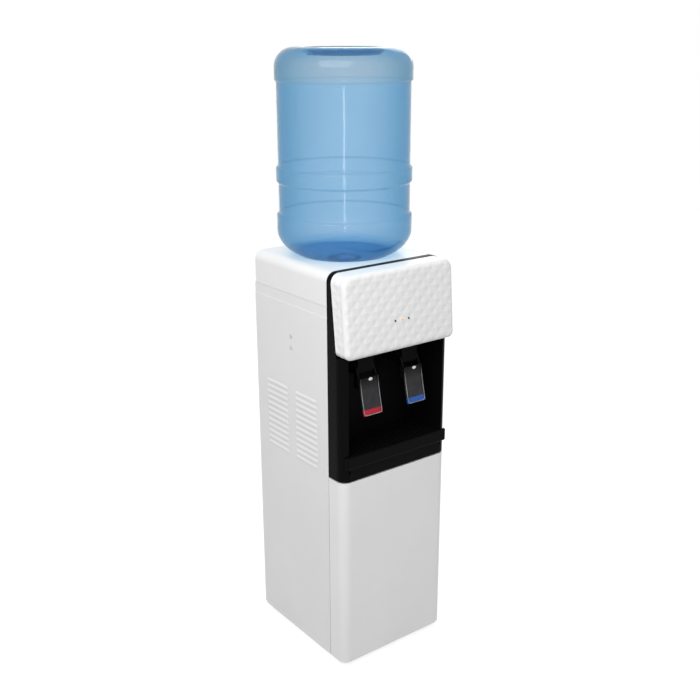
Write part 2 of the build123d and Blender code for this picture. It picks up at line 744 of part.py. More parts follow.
# ---------------------------------------------------------------- taps
def tap_body(name, middle, inlet):
    """Tap housing on the niche's rear wall, with its valve chamber and spout."""
    front = front_y + tap_body_front
    rear = niche_rear - liner_wall
    spout_y = front_y + spout_back
    with BuildPart() as body:
        slab((middle - tap_body_width / 2, middle + tap_body_width / 2), (front, rear),
             (tap_body_bottom, tap_body_top))
        fillet(body.edges().filter_by(Axis.X), tap_body_round)
        rod((middle, spout_y, spout_bottom), (0, 0, 1), spout_radius, tap_body_bottom - spout_bottom)
        rod((middle, spout_y, spout_bottom), (0, 0, 1), spout_bore, pipe_z - spout_bottom,
            mode=Mode.SUBTRACT)
        slab((middle - chamber_half_width, middle + chamber_half_width),
             (spout_y - spout_bore, rear - chamber_wall),
             (pipe_z - hose_radius - 1, pipe_z + hose_radius + 1), mode=Mode.SUBTRACT)
        rod((inlet, rear - 2 * chamber_wall, pipe_z), (0, 1, 0), hose_radius + seat_gap,
            4 * chamber_wall, mode=Mode.SUBTRACT)
        rod((middle - tap_body_width, front_y + lever_pin_back, lever_pin_height), (1, 0, 0),
            lever_pin_radius, 2 * tap_body_width, mode=Mode.SUBTRACT)
    keep(name, body)


tap_body("hot_tap_body", -tap_offset, -tap_offset)
tap_body("cold_tap_body", tap_offset, cold_pipe_x)

with BuildPart() as lever_pins:
    for middle in (-tap_offset, tap_offset):
        rod((middle - lever_width / 2 - pin_proud, front_y + lever_pin_back, lever_pin_height),
            (1, 0, 0), lever_pin_radius, lever_width + 2 * pin_proud)
keep("lever_pins", lever_pins)


def paddle_edge(setback):
    """The paddle's curve, seen from the side, moved back by a setback."""
    return ThreePointArc((front_y + lever_bottom_back + setback, lever_bottom),
                         (front_y + lever_middle_back + setback, (lever_top + lever_bottom) / 2),
                         (front_y + lever_top_back + setback, lever_top))


def paddle_face(front, rear):
    """Side profile of the paddle between two setbacks."""
    with BuildLine() as profile:
        face = paddle_edge(front)
        back = paddle_edge(rear)
        Line(face @ 0, back @ 0)
        Line(face @ 1, back @ 1)
    make_face(profile.edges())


def lever(name, tip_name, middle):
    """A push lever: curved paddle with raised rims, two arms to its pin, and its coloured tip."""
    pin = (front_y + lever_pin_back, lever_pin_height)
    half = lever_width / 2
    with BuildPart() as whole:
        with BuildSketch(Plane.YZ.offset(middle - half)):
            paddle_face(0, lever_plate)
        extrude(amount=lever_width)
        fillet(whole.edges().filter_by(Axis.Y, tolerance=20).group_by(Axis.Z)[0], lever_corner)
        for side in (-1, 1):
            rim_start = middle + side * half if side < 0 else middle + half - lever_rim_width
            with BuildSketch(Plane.YZ.offset(rim_start)):
                paddle_face(-lever_rim, lever_plate)
            extrude(amount=lever_rim_width)
            arm_start = middle - half if side < 0 else middle + half - lever_arm
            with BuildSketch(Plane.YZ.offset(arm_start)):
                with Locations(pin):
                    Circle(lever_pin_radius + lever_arm)
                with Locations((front_y + lever_top_back + lever_plate, lever_top - lever_arm_drop)):
                    Circle(lever_plate)
                make_hull()
            extrude(amount=lever_arm)
        rod((middle - lever_width, pin[0], pin[1]), (1, 0, 0), lever_pin_radius + running_gap,
            2 * lever_width, mode=Mode.SUBTRACT)
    cut = Plane.XY.offset(lever_bottom + lever_tip_height)
    with BuildPart() as upper:
        add(whole.part)
        split(bisect_by=cut, keep=Keep.TOP)
    with BuildPart() as tip:
        add(whole.part)
        split(bisect_by=cut, keep=Keep.BOTTOM)
    keep(name, upper)
    keep(tip_name, tip)


lever("hot_lever", "hot_lever_tip", -tap_offset)
lever("cold_lever", "cold_lever_tip", tap_offset)

# ---------------------------------------------------------------- drip tray and grille
tray_front = front_y - nose_gap
tray_rear = front_y + tray_depth
tray_top = tray_bottom + tray_height
grille_bottom = tray_top - grille_thickness

with BuildPart() as drip_tray:
    nose_low = tray_bottom + nose_lift
    slab((-tray_half_width, tray_half_width), (tray_front, tray_rear), (tray_bottom, tray_top))
    slab((-tray_half_width + tray_wall, tray_half_width - tray_wall),
         (tray_front + tray_wall, tray_rear - tray_wall), (tray_bottom + tray_wall, tray_top + 1),
         mode=Mode.SUBTRACT)
    slab((-tray_half_width, tray_half_width), (tray_front, tray_rear),
         (grille_bottom - seat_gap - tray_ledge, grille_bottom - seat_gap))
    slab((-tray_half_width + tray_wall + tray_ledge, tray_half_width - tray_wall - tray_ledge),
         (tray_front + tray_wall + tray_ledge, tray_rear - tray_wall - tray_ledge),
         (tray_bottom + tray_wall, tray_top + 1), mode=Mode.SUBTRACT)
    with BuildPart(mode=Mode.PRIVATE) as nose:
        with BuildSketch(Plane.XY.offset(nose_low)):
            with Locations((0, tray_front - nose_reach / 2 + tray_wall / 2)):
                Rectangle(2 * nose_half_width, nose_reach + tray_wall)
            fillet(sketch_corners(0), nose_round)
        extrude(amount=nose_height)
        nose_front = nose.faces().sort_by(Axis.Y)[0]
        fillet(nose_front.edges().filter_by(Axis.X), nose_edge)
    add(nose.part)
    slab((-nose_half_width - 1, nose_half_width + 1), (tray_front, tray_front + tray_wall + 1),
         (tray_top, nose_low + nose_height + 1), mode=Mode.SUBTRACT)
    for side in (-1, 1):
        slab((side * tray_half_width, side * (nose_half_width + 1)),
             (tray_front, tray_front + tray_wall + 1), (nose_low - 1, tray_top + 1),
             mode=Mode.SUBTRACT)
keep("drip_tray", drip_tray)

with BuildPart() as drip_grille:
    slab((-tray_half_width + tray_wall + seat_gap, tray_half_width - tray_wall - seat_gap),
         (tray_front + tray_wall + seat_gap, tray_rear - tray_wall - seat_gap),
         (grille_bottom, tray_top))
    slot_pitch = 2 * (tray_half_width - 2 * tray_wall - tray_ledge) / grille_slot_count
    with Locations((0, (tray_front + tray_rear) / 2, grille_bottom)):
        with GridLocations(slot_pitch, 0, grille_slot_count, 1):
            Box(grille_slot, tray_rear - tray_front - 2 * grille_frame, 3 * grille_thickness,
                mode=Mode.SUBTRACT)
keep("drip_grille", drip_grille)

# ---------------------------------------------------------------- cold tank and cooling unit
with BuildPart() as cold_tank:
    rod((0, bottle_y, cold_tank_bottom), (0, 0, 1), cold_tank_radius, cold_tank_height)
    rod((0, bottle_y, cold_tank_bottom + tank_wall), (0, 0, 1), cold_tank_radius - tank_wall,
        cold_tank_height - 2 * tank_wall, mode=Mode.SUBTRACT)
    rod((0, bottle_y, cold_tank_top - 5), (0, 0, 1), probe_radius + seat_gap, 10, mode=Mode.SUBTRACT)
    rod((0, bottle_y, cold_tank_bottom - 5), (0, 0, 1), hose_radius + seat_gap, 10, mode=Mode.SUBTRACT)
    rod((cold_pipe_x, bottle_y - cold_tank_radius, pipe_z), (0, 1, 0), hose_radius + seat_gap,
        cold_tank_radius, mode=Mode.SUBTRACT)
keep("cold_tank", cold_tank)

with BuildPart() as cold_tank_insulation:
    foam_bottom = cold_tank_bottom - seat_gap - cold_foam
    rod((0, bottle_y, foam_bottom), (0, 0, 1), cold_foam_radius, cold_tank_top - foam_bottom)
    rod((0, bottle_y, cold_tank_bottom - seat_gap), (0, 0, 1), cold_tank_radius + seat_gap,
        cold_tank_height + 5, mode=Mode.SUBTRACT)
    rod((0, bottle_y, foam_bottom - 5), (0, 0, 1), hose_radius + seat_gap, cold_foam + 10,
        mode=Mode.SUBTRACT)
    rod((cold_pipe_x, bottle_y - cold_foam_radius, pipe_z), (0, 1, 0), hose_radius + seat_gap,
        cold_foam_radius, mode=Mode.SUBTRACT)
    slab((-block_width / 2 - seat_gap, block_width / 2 + seat_gap),
         (bottle_y + cold_tank_radius / 2, bottle_y + cold_foam_radius + 5),
         (cold_middle - block_width / 2 - seat_gap, cold_middle + block_width / 2 + seat_gap),
         mode=Mode.SUBTRACT)
keep("cold_tank_insulation", cold_tank_insulation)

with BuildPart() as tank_lid_insulation:
    rod((0, bottle_y, cold_tank_top + seat_gap), (0, 0, 1), cold_foam_radius, lid_foam)
    rod((0, bottle_y, cold_tank_top), (0, 0, 1), probe_radius + seat_gap, 2 * lid_foam,
        mode=Mode.SUBTRACT)
keep("tank_lid_insulation", tank_lid_insulation)

block_rear = bottle_y + cold_tank_radius + block_reach
sink_front = block_rear + module_thickness
fan_rear = rear_inner - fan_gap
fan_front = fan_rear - fan_depth

with BuildPart() as cold_block:
    slab((-block_width / 2, block_width / 2), (bottle_y + cold_tank_radius / 2, block_rear),
         (cold_middle - block_width / 2, cold_middle + block_width / 2))
    rod((0, bottle_y, cold_middle - block_width), (0, 0, 1), cold_tank_radius + block_seat,
        2 * block_width, mode=Mode.SUBTRACT)
keep("cold_block", cold_block)

with BuildPart() as thermoelectric_module:
    slab((-block_width / 2, block_width / 2), (block_rear, sink_front),
         (cold_middle - block_width / 2, cold_middle + block_width / 2))
keep("thermoelectric_module", thermoelectric_module)

with BuildPart() as heat_sink:
    half_sink = sink_width / 2
    slab((-half_sink, half_sink), (sink_front, sink_front + sink_base),
         (cold_middle - half_sink, cold_middle + half_sink))
    fin_length = fan_front - seat_gap - sink_front - sink_base
    with Locations((0, sink_front + sink_base + fin_length / 2, cold_middle)):
        with GridLocations((sink_width - sink_fin) / (sink_fin_count - 1), 0, sink_fin_count, 1):
            Box(sink_fin, fin_length, sink_width)
keep("heat_sink", heat_sink)

with BuildPart() as fan_housing:
    half_fan = fan_width / 2
    slab((-half_fan, half_fan), (fan_front, fan_rear), (cold_middle - half_fan, cold_middle + half_fan))
    fillet(fan_housing.edges().filter_by(Axis.Y), fan_corner)
    rod((0, fan_front - 1, cold_middle), (0, 1, 0), fan_bore, fan_depth + 2, mode=Mode.SUBTRACT)
    rod((0, fan_rear - fan_strut, cold_middle), (0, 1, 0), fan_hub_radius, fan_strut)
    with Locations((0, fan_rear - fan_strut / 2, cold_middle)):
        for turn in (45, 135):
            Box(2 * fan_bore + 2, fan_strut, fan_strut, rotation=(0, turn, 0))
    rod((0, fan_rear - fan_strut, cold_middle), (0, -1, 0), fan_shaft_radius,
        fan_depth - 3 * fan_strut)
keep("fan_housing", fan_housing)

with BuildPart() as fan_rotor:
    hub_front = fan_front + fan_strut
    hub_rear = fan_rear - fan_strut - seat_gap
    blade_middle = (hub_front + hub_rear) / 2
    for blade in range(blade_count):
        turn = blade * 360 / blade_count
        radial = Vector(1, 0, 0).rotate(Axis.Y, turn)
        with BuildSketch(Plane(origin=(0, blade_middle, cold_middle), x_dir=(0, 1, 0), z_dir=radial)):
            Rectangle(blade_chord, blade_thickness, rotation=blade_pitch)
        extrude(amount=fan_bore)
    rod((0, hub_front, cold_middle), (0, 1, 0), fan_hub_radius, hub_rear - hub_front)
    with Locations((0, blade_middle, cold_middle)):
        Cylinder(blade_tip, hub_rear - hub_front, rotation=(90, 0, 0), mode=Mode.INTERSECT)
    rod((0, hub_rear, cold_middle), (0, -1, 0), fan_shaft_radius + running_gap,
        fan_depth - 3 * fan_strut, mode=Mode.SUBTRACT)
keep("fan_rotor", fan_rotor)

# ---------------------------------------------------------------- hot tank, hoses, drain
drain_z = hot_tank_bottom + drain_rise
hose_out_z = hot_tank_top - hose_drop

with BuildPart() as hot_tank:
    rod((0, bottle_y, hot_tank_bottom), (0, 0, 1), hot_tank_radius, hot_tank_height)
    rod((0, bottle_y, hot_tank_bottom + tank_wall), (0, 0, 1), hot_tank_radius - tank_wall,
        hot_tank_height - 2 * tank_wall, mode=Mode.SUBTRACT)
    rod((0, bottle_y, hot_tank_top - 5), (0, 0, 1), hose_radius + seat_gap, 10, mode=Mode.SUBTRACT)
    rod((0, bottle_y, hose_out_z), (-1, 0, 0), hose_radius + seat_gap, 2 * hot_tank_radius,
        mode=Mode.SUBTRACT)
    rod((0, bottle_y, drain_z), (0, 1, 0), drain_radius + seat_gap, 2 * hot_tank_radius,
        mode=Mode.SUBTRACT)
keep("hot_tank", hot_tank)

with BuildPart() as band_heater:
    heater_bottom = drain_z + drain_radius + 2 * seat_gap + heater_lift
    rod((0, bottle_y, heater_bottom), (0, 0, 1), hot_tank_radius + seat_gap + heater_thickness,
        heater_height)
    rod((0, bottle_y, heater_bottom - 1), (0, 0, 1), hot_tank_radius + seat_gap, heater_height + 2,
        mode=Mode.SUBTRACT)
keep("band_heater", band_heater)

with BuildPart() as hot_tank_insulation:
    rod((0, bottle_y, deck_top + seat_gap), (0, 0, 1), hot_foam_radius,
        hot_tank_height + 2 * hot_foam + 2 * seat_gap)
    rod((0, bottle_y, hot_tank_bottom - seat_gap), (0, 0, 1), hot_foam_radius - hot_foam,
        hot_tank_height + 2 * seat_gap, mode=Mode.SUBTRACT)
    rod((0, bottle_y, hot_tank_top), (0, 0, 1), hose_radius + seat_gap, 2 * hot_foam,
        mode=Mode.SUBTRACT)
    rod((0, bottle_y, hose_out_z), (-1, 0, 0), hose_radius + seat_gap, 2 * hot_foam_radius,
        mode=Mode.SUBTRACT)
    rod((0, bottle_y, drain_z), (0, 1, 0), drain_radius + seat_gap, 2 * hot_foam_radius,
        mode=Mode.SUBTRACT)
keep("hot_tank_insulation", hot_tank_insulation)

with BuildPart() as feed_hose:
    rod((0, bottle_y, hot_tank_top - hose_plug), (0, 0, 1), hose_radius,
        cold_tank_bottom - hot_tank_top + 2 * hose_plug)
    rod((0, bottle_y, hot_tank_top - hose_plug - 1), (0, 0, 1), hose_bore,
        cold_tank_bottom - hot_tank_top + 2 * hose_plug + 2, mode=Mode.SUBTRACT)
keep("feed_hose", feed_hose)

with BuildPart() as hot_outlet_hose:
    hose_front_y = bottle_y - hot_tank_radius - cold_foam - hot_hose_bend / 3
    with BuildLine() as hot_route:
        FilletPolyline((-hot_tank_radius + hose_plug, bottle_y, hose_out_z),
                       (-hot_hose_out, bottle_y, hose_out_z),
                       (-hot_hose_out, hose_front_y, pipe_z),
                       (-tap_offset, hose_front_y, pipe_z),
                       (-tap_offset, niche_rear - liner_wall - hose_plug, pipe_z),
                       radius=hot_hose_bend)
    with BuildSketch(Plane(origin=hot_route.line @ 0, z_dir=hot_route.line % 0)):
        Circle(hose_radius)
        Circle(hose_bore, mode=Mode.SUBTRACT)
    sweep()
keep("hot_outlet_hose", hot_outlet_hose)

with BuildPart() as cold_outlet_pipe:
    pipe_start = niche_rear - liner_wall - hose_plug
    pipe_end = bottle_y - sqrt(cold_tank_radius ** 2 - cold_pipe_x ** 2) + hose_plug
    rod((cold_pipe_x, pipe_start, pipe_z), (0, 1, 0), hose_radius, pipe_end - pipe_start)
    rod((cold_pipe_x, pipe_start - 1, pipe_z), (0, 1, 0), hose_bore, pipe_end - pipe_start + 2,
        mode=Mode.SUBTRACT)
keep("cold_outlet_pipe", cold_outlet_pipe)

with BuildPart() as drain_pipe:
    drain_start = bottle_y + hot_tank_radius - hose_plug
    rod((0, drain_start, drain_z), (0, 1, 0), drain_radius, back_y + drain_thread - drain_start)
    rod((0, drain_start - 1, drain_z), (0, 1, 0), drain_bore, back_y + drain_thread - drain_start + 2,
        mode=Mode.SUBTRACT)
keep("drain_pipe", drain_pipe)

with BuildPart() as drain_cap:
    cap_front = back_y + seat_gap
    rod((0, cap_front, drain_z), (0, 1, 0), cap_radius, cap_reach - seat_gap)
    fillet(drain_cap.edges().group_by(Axis.Y)[-1], cap_edge)
    rod((0, cap_front - 1, drain_z), (0, 1, 0), drain_radius + seat_gap, drain_thread + thread_gap,
        mode=Mode.SUBTRACT)
keep("drain_cap", drain_cap)

# ---------------------------------------------------------------- electrics at the back
with BuildPart() as power_supply:
    supply_right = half_width - sheet - side_flange - supply_side_gap
    supply_rear = frame_rear - side_flange
    slab((supply_right - supply_size[0], supply_right), (supply_rear - supply_size[1], supply_rear),
         (deck_top + seat_gap, deck_top + seat_gap + supply_size[2]))
    fillet(power_supply.edges().filter_by(Axis.Z), supply_corner)
keep("power_supply", power_supply)

with BuildPart() as power_inlet:
    slab((inlet_x - inlet_width / 2, inlet_x + inlet_width / 2), (back_y - inlet_depth, back_y),
         (inlet_z - inlet_height / 2, inlet_z + inlet_height / 2))
    slab((inlet_x - inlet_width / 2 - inlet_flange, inlet_x + inlet_width / 2 + inlet_flange),
         (back_y, back_y + inlet_wall),
         (inlet_z - inlet_height / 2 - inlet_flange, inlet_z + inlet_height / 2 + inlet_flange))
    slab((inlet_x - inlet_width / 2 + inlet_wall, inlet_x + inlet_width / 2 - inlet_wall),
         (back_y + inlet_wall - inlet_recess, back_y + inlet_wall + 1),
         (inlet_z - inlet_height / 2 + inlet_wall, inlet_z + inlet_height / 2 - inlet_wall),
         mode=Mode.SUBTRACT)
    for column, rise in ((-1, -pin_drop), (0, pin_lift), (1, -pin_drop)):
        pin_x = inlet_x + column * pin_spacing
        pin_z = inlet_z + rise
        slab((pin_x - pin_size[0] / 2, pin_x + pin_size[0] / 2),
             (back_y + inlet_wall - inlet_recess - 1, back_y + inlet_wall - inlet_recess + pin_size[2]),
             (pin_z - pin_size[1] / 2, pin_z + pin_size[1] / 2))
keep("power_inlet", power_inlet)

rocker_axis_y = back_y - rocker_axis_depth
rocker_half_width = switch_width / 2 - switch_bezel - rocker_side_gap

with BuildPart() as switch_bezels:
    for side in (-1, 1):
        z = switch_z + side * switch_spacing / 2
        slab((switch_x - switch_width / 2, switch_x + switch_width / 2),
             (back_y - switch_depth, back_y), (z - switch_height / 2, z + switch_height / 2))
        slab((switch_x - switch_width / 2 - inlet_flange, switch_x + switch_width / 2 + inlet_flange),
             (back_y, back_y + inlet_wall / 2),
             (z - switch_height / 2 - inlet_flange, z + switch_height / 2 + inlet_flange))
        slab((switch_x - switch_width / 2 + switch_bezel, switch_x + switch_width / 2 - switch_bezel),
             (back_y - switch_depth + switch_bezel, back_y + inlet_wall),
             (z - switch_height / 2 + switch_bezel, z + switch_height / 2 - switch_bezel),
             mode=Mode.SUBTRACT)
        rod((switch_x - rocker_half_width - rocker_pin, rocker_axis_y, z), (1, 0, 0),
            rocker_pin + running_gap, 2 * (rocker_half_width + rocker_pin), mode=Mode.SUBTRACT)
keep("switch_bezels", switch_bezels)


def rocker(name, side):
    """A rocker turned to its off side, with its two pins in the bezel."""
    z = switch_z + side * switch_spacing / 2
    with BuildPart() as body:
        with Locations((switch_x, rocker_axis_y, z)):
            with Locations(Location((0, 0, 0), (-switch_tilt, 0, 0))):
                Box(2 * rocker_half_width, 2 * (rocker_pin + rocker_wall), 2 * rocker_half_height)
        rod((switch_x - rocker_half_width - rocker_pin + running_gap, rocker_axis_y, z), (1, 0, 0),
            rocker_pin, 2 * (rocker_half_width + rocker_pin - running_gap))
    keep(name, body)


rocker("heating_switch", 1)
rocker("cooling_switch", -1)

# ---------------------------------------------------------------- tank brackets
with BuildPart() as tank_brackets:
    for side in (-1, 1):
        near = side * (cold_foam_radius + seat_gap)
        far = side * (half_width - sheet - side_band_depth - 2 * seat_gap)
        bracket_low = side_screw_low - (bracket_height - side_screw_spacing) / 2
        across = (front_y + side_screw_back - bracket_width / 2,
                  front_y + side_screw_back + bracket_width / 2)
        slab((near, far), across, (bracket_low, bracket_low + bracket_sheet))
        slab((near, near + side * bracket_sheet), across, (bracket_low, bracket_low + bracket_height))
        slab((far - side * bracket_sheet, far), across, (bracket_low, bracket_low + bracket_height))
        for hole in range(2):
            rod((far - side * 2 * bracket_sheet, front_y + side_screw_back,
                 side_screw_low + hole * side_screw_spacing), (side, 0, 0),
                screw_shank_radius + seat_gap, 4 * bracket_sheet, mode=Mode.SUBTRACT)
keep("tank_brackets", tank_brackets)

# ---------------------------------------------------------------- storage compartment and its door
flange_front = seam_y + storage_front_gap
flange_half_width = half_width - sheet - seat_gap
storage_low = base_top + seat_gap
storage_high = deck_top - deck_thickness - seat_gap

with BuildPart() as storage_liner:
    slab((-flange_half_width, flange_half_width), (flange_front, flange_front + storage_flange),
         (storage_low, storage_high))
    slab((-half_width + storage_inset, half_width - storage_inset),
         (flange_front, front_y + storage_back),
         (storage_low + storage_inset, storage_high - storage_inset))
    slab((-half_width + storage_inset + liner_wall, half_width - storage_inset - liner_wall),
         (flange_front - 1, front_y + storage_back - liner_wall),
         (storage_low + storage_inset + liner_wall, storage_high - storage_inset - liner_wall),
         mode=Mode.SUBTRACT)
keep("storage_liner", storage_liner)

pin_tops = (door_bottom + pivot_pin_grip, fascia_bottom + shell_wall)
pin_bottoms = (foot_height, door_top - pivot_pin_grip)

with BuildPart() as hinge_pins:
    for low, high in zip(pin_bottoms, pin_tops):
        rod((pivot_x, pivot_y, low), (0, 0, 1), pivot_pin_radius, high - low)
keep("hinge_pins", hinge_pins)

with BuildPart() as door_outer:
    with BuildSketch(Plane.XY.offset(door_bottom)):
        front_plan(0, door_rear_y)
    extrude(amount=door_top - door_bottom)
    with BuildSketch(Plane.XY.offset(door_bottom + shell_wall)):
        front_plan(shell_wall, door_rear_y + 1)
    extrude(amount=door_top - door_bottom - 2 * shell_wall, mode=Mode.SUBTRACT)
    boss_height = pivot_pin_grip + shell_wall
    for low in (door_bottom, door_top - boss_height):
        rod((pivot_x, pivot_y, low), (0, 0, 1), pivot_boss_radius, boss_height)
    for low in (door_bottom - 1, door_top - pivot_pin_grip - 1):
        rod((pivot_x, pivot_y, low), (0, 0, 1), pivot_pin_radius + running_gap, pivot_pin_grip + 2,
            mode=Mode.SUBTRACT)
keep("door_outer", door_outer)

inner_rear = door_rear_y - door_panel_inset

with BuildPart() as door_inner:
    slab((-half_width + shell_wall + seat_gap, half_width - shell_wall - seat_gap),
         (inner_rear - liner_wall, inner_rear),
         (door_bottom + shell_wall + seat_gap, door_top - shell_wall - seat_gap))
keep("door_inner", door_inner)

with BuildPart() as door_gasket:
    outer = flange_half_width - gasket_edge
    low = storage_low + gasket_edge
    high = storage_high - gasket_edge
    slab((-outer, outer), (inner_rear, flange_front - seat_gap), (low, high))
    slab((-outer + gasket_width, outer - gasket_width), (inner_rear - 1, flange_front + 1),
         (low + gasket_width, high - gasket_width), mode=Mode.SUBTRACT)
keep("door_gasket", door_gasket)

magnet_left = -half_width + storage_inset + liner_wall + 3 * seat_gap + magnet_inset
magnet_middle = (storage_low + storage_high) / 2

with BuildPart() as door_magnet:
    slab((magnet_left, magnet_left + magnet_size[1]), (inner_rear, flange_front - seat_gap),
         (magnet_middle - magnet_size[0] / 2, magnet_middle + magnet_size[0] / 2))
keep("door_magnet", door_magnet)

with BuildPart() as catch_plate:
    slab((-half_width + storage_inset + liner_wall, magnet_left + magnet_size[1]),
         (flange_front, flange_front + storage_flange),
         (magnet_middle - magnet_size[0] / 2 - catch_overhang,
          magnet_middle + magnet_size[0] / 2 + catch_overhang))
keep("catch_plate", catch_plate)
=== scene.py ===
import math
import bpy
import numpy as np
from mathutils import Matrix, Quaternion, Vector


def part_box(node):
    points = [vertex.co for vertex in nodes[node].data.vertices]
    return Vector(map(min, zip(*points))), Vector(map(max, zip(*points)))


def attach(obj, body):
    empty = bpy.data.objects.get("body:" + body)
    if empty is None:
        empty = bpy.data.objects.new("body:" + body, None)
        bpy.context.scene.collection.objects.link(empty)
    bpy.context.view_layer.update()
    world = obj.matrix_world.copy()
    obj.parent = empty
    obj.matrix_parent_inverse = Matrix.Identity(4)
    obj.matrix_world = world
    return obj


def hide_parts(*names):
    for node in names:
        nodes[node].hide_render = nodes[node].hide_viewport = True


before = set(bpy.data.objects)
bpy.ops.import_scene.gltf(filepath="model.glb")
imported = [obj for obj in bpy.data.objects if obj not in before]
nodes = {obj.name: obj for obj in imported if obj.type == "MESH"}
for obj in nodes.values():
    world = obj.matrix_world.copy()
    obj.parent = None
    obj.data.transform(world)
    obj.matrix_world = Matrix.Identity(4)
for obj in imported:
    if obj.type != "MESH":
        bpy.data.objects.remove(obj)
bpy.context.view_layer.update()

scene = bpy.context.scene
print("frame loaded with", len(nodes), "nodes")

# camera, placed as the photograph was taken
cameraView = {
    "azimuth": -37.1,
    "elevation": 18.08,
    "roll": -0.21,
    "distance": 2.0614,
    "lens": 50.08,
    "sensor": 36.0,
    "farthest": 60.0,
    "aim": (-0.0029, 0.001, 0.6477),
}


def backwards(azimuth, elevation):
    # unit vector from the object towards a viewer at that azimuth and elevation
    a, e = math.radians(azimuth), math.radians(elevation)
    return Vector((math.sin(a) * math.cos(e), -math.cos(a) * math.cos(e), math.sin(e)))


cameraData = bpy.data.cameras.new("camera")
cameraData.sensor_width = cameraView["sensor"]
cameraData.lens = cameraView["lens"]
cameraData.clip_end = cameraView["farthest"]
cameraObject = bpy.data.objects.new("camera", cameraData)
scene.collection.objects.link(cameraObject)
lookBack = backwards(cameraView["azimuth"], cameraView["elevation"])
cameraObject.location = Vector(cameraView["aim"]) + lookBack * cameraView["distance"]
cameraObject.rotation_mode = "QUATERNION"
cameraObject.rotation_quaternion = (-lookBack).to_track_quat("-Z", "Y") @ Quaternion(
    (0, 0, 1), math.radians(cameraView["roll"]))
scene.camera = cameraObject
scene.view_settings.view_transform = "Standard"
print("camera set")


def putNode(tree, kind, values=None, **settings):
    # a shader node with its settings, and values for the inputs that nothing feeds
    made = tree.nodes.new(kind)
    for key, value in settings.items():
        setattr(made, key, value)
    for key, value in (values or {}).items():
        made.inputs[key].default_value = value
    return made


def newGroup(name, inputs, outputs):
    # an empty node group with named inputs and outputs, and its two end nodes
    group = bpy.data.node_groups.new(name, "ShaderNodeTree")
    for label, kind, value in inputs:
        socket = group.interface.new_socket(label, in_out="INPUT", socket_type=kind)
        socket.default_value = value
    for label, kind in outputs:
        group.interface.new_socket(label, in_out="OUTPUT", socket_type=kind)
    return group, group.nodes.new("NodeGroupInput"), group.nodes.new("NodeGroupOutput")


def buildGrain():
    # fine surface grain: a noise bump, and a slower noise that moves the roughness
    group, given, result = newGroup(
        "fineGrain",
        [("Grain Scale", "NodeSocketFloat", 900.0), ("Grain Depth", "NodeSocketFloat", 0.00002),
         ("Roughness", "NodeSocketFloat", 0.4), ("Roughness Spread", "NodeSocketFloat", 0.08)],
        [("Normal", "NodeSocketVector"), ("Roughness", "NodeSocketFloat")])
    link = group.links.new
    place = putNode(group, "ShaderNodeTexCoord")
    grain = putNode(group, "ShaderNodeTexNoise", {"Detail": 2.0})
    patches = putNode(group, "ShaderNodeTexNoise", {"Scale": 9.0, "Detail": 3.0})
    bump = putNode(group, "ShaderNodeBump", {"Strength": 1.0})
    centred = putNode(group, "ShaderNodeMath", {1: 0.5}, operation="SUBTRACT")
    spread = putNode(group, "ShaderNodeMath", operation="MULTIPLY")
    total = putNode(group, "ShaderNodeMath", operation="ADD")
    link(place.outputs["Object"], grain.inputs["Vector"])
    link(place.outputs["Object"], patches.inputs["Vector"])
    link(given.outputs["Grain Scale"], grain.inputs["Scale"])
    link(grain.outputs["Fac"], bump.inputs["Height"])
    link(given.outputs["Grain Depth"], bump.inputs["Distance"])
    link(patches.outputs["Fac"], centred.inputs[0])
    link(centred.outputs[0], spread.inputs[0])
    link(given.outputs["Roughness Spread"], spread.inputs[1])
    link(spread.outputs[0], total.inputs[0])
    link(given.outputs["Roughness"], total.inputs[1])
    link(bump.outputs["Normal"], result.inputs["Normal"])
    link(total.outputs[0], result.inputs["Roughness"])
    return group


def buildDrift():
    # slow change between two close colours, as in moulded or coated sheet
    group, given, result = newGroup(
        "colourDrift",
        [("Colour", "NodeSocketColor", (0.8, 0.8, 0.8, 1)),
         ("Second Colour", "NodeSocketColor", (0.7, 0.7, 0.7, 1)),
         ("Drift Scale", "NodeSocketFloat", 6.0)],
        [("Colour", "NodeSocketColor")])
    link = group.links.new
    place = putNode(group, "ShaderNodeTexCoord")
    clouds = putNode(group, "ShaderNodeTexNoise", {"Detail": 4.0, "Roughness": 0.6})
    ramp = putNode(group, "ShaderNodeMapRange", {"From Min": 0.3, "From Max": 0.7})
    blend = putNode(group, "ShaderNodeMix", data_type="RGBA")
    link(place.outputs["Object"], clouds.inputs["Vector"])
    link(given.outputs["Drift Scale"], clouds.inputs["Scale"])
    link(clouds.outputs["Fac"], ramp.inputs["Value"])
    link(ramp.outputs["Result"], blend.inputs["Factor"])
    link(given.outputs["Colour"], blend.inputs[6])
    link(given.outputs["Second Colour"], blend.inputs[7])
    link(blend.outputs[2], result.inputs["Colour"])
    return group


grainGroup = buildGrain()
driftGroup = buildDrift()


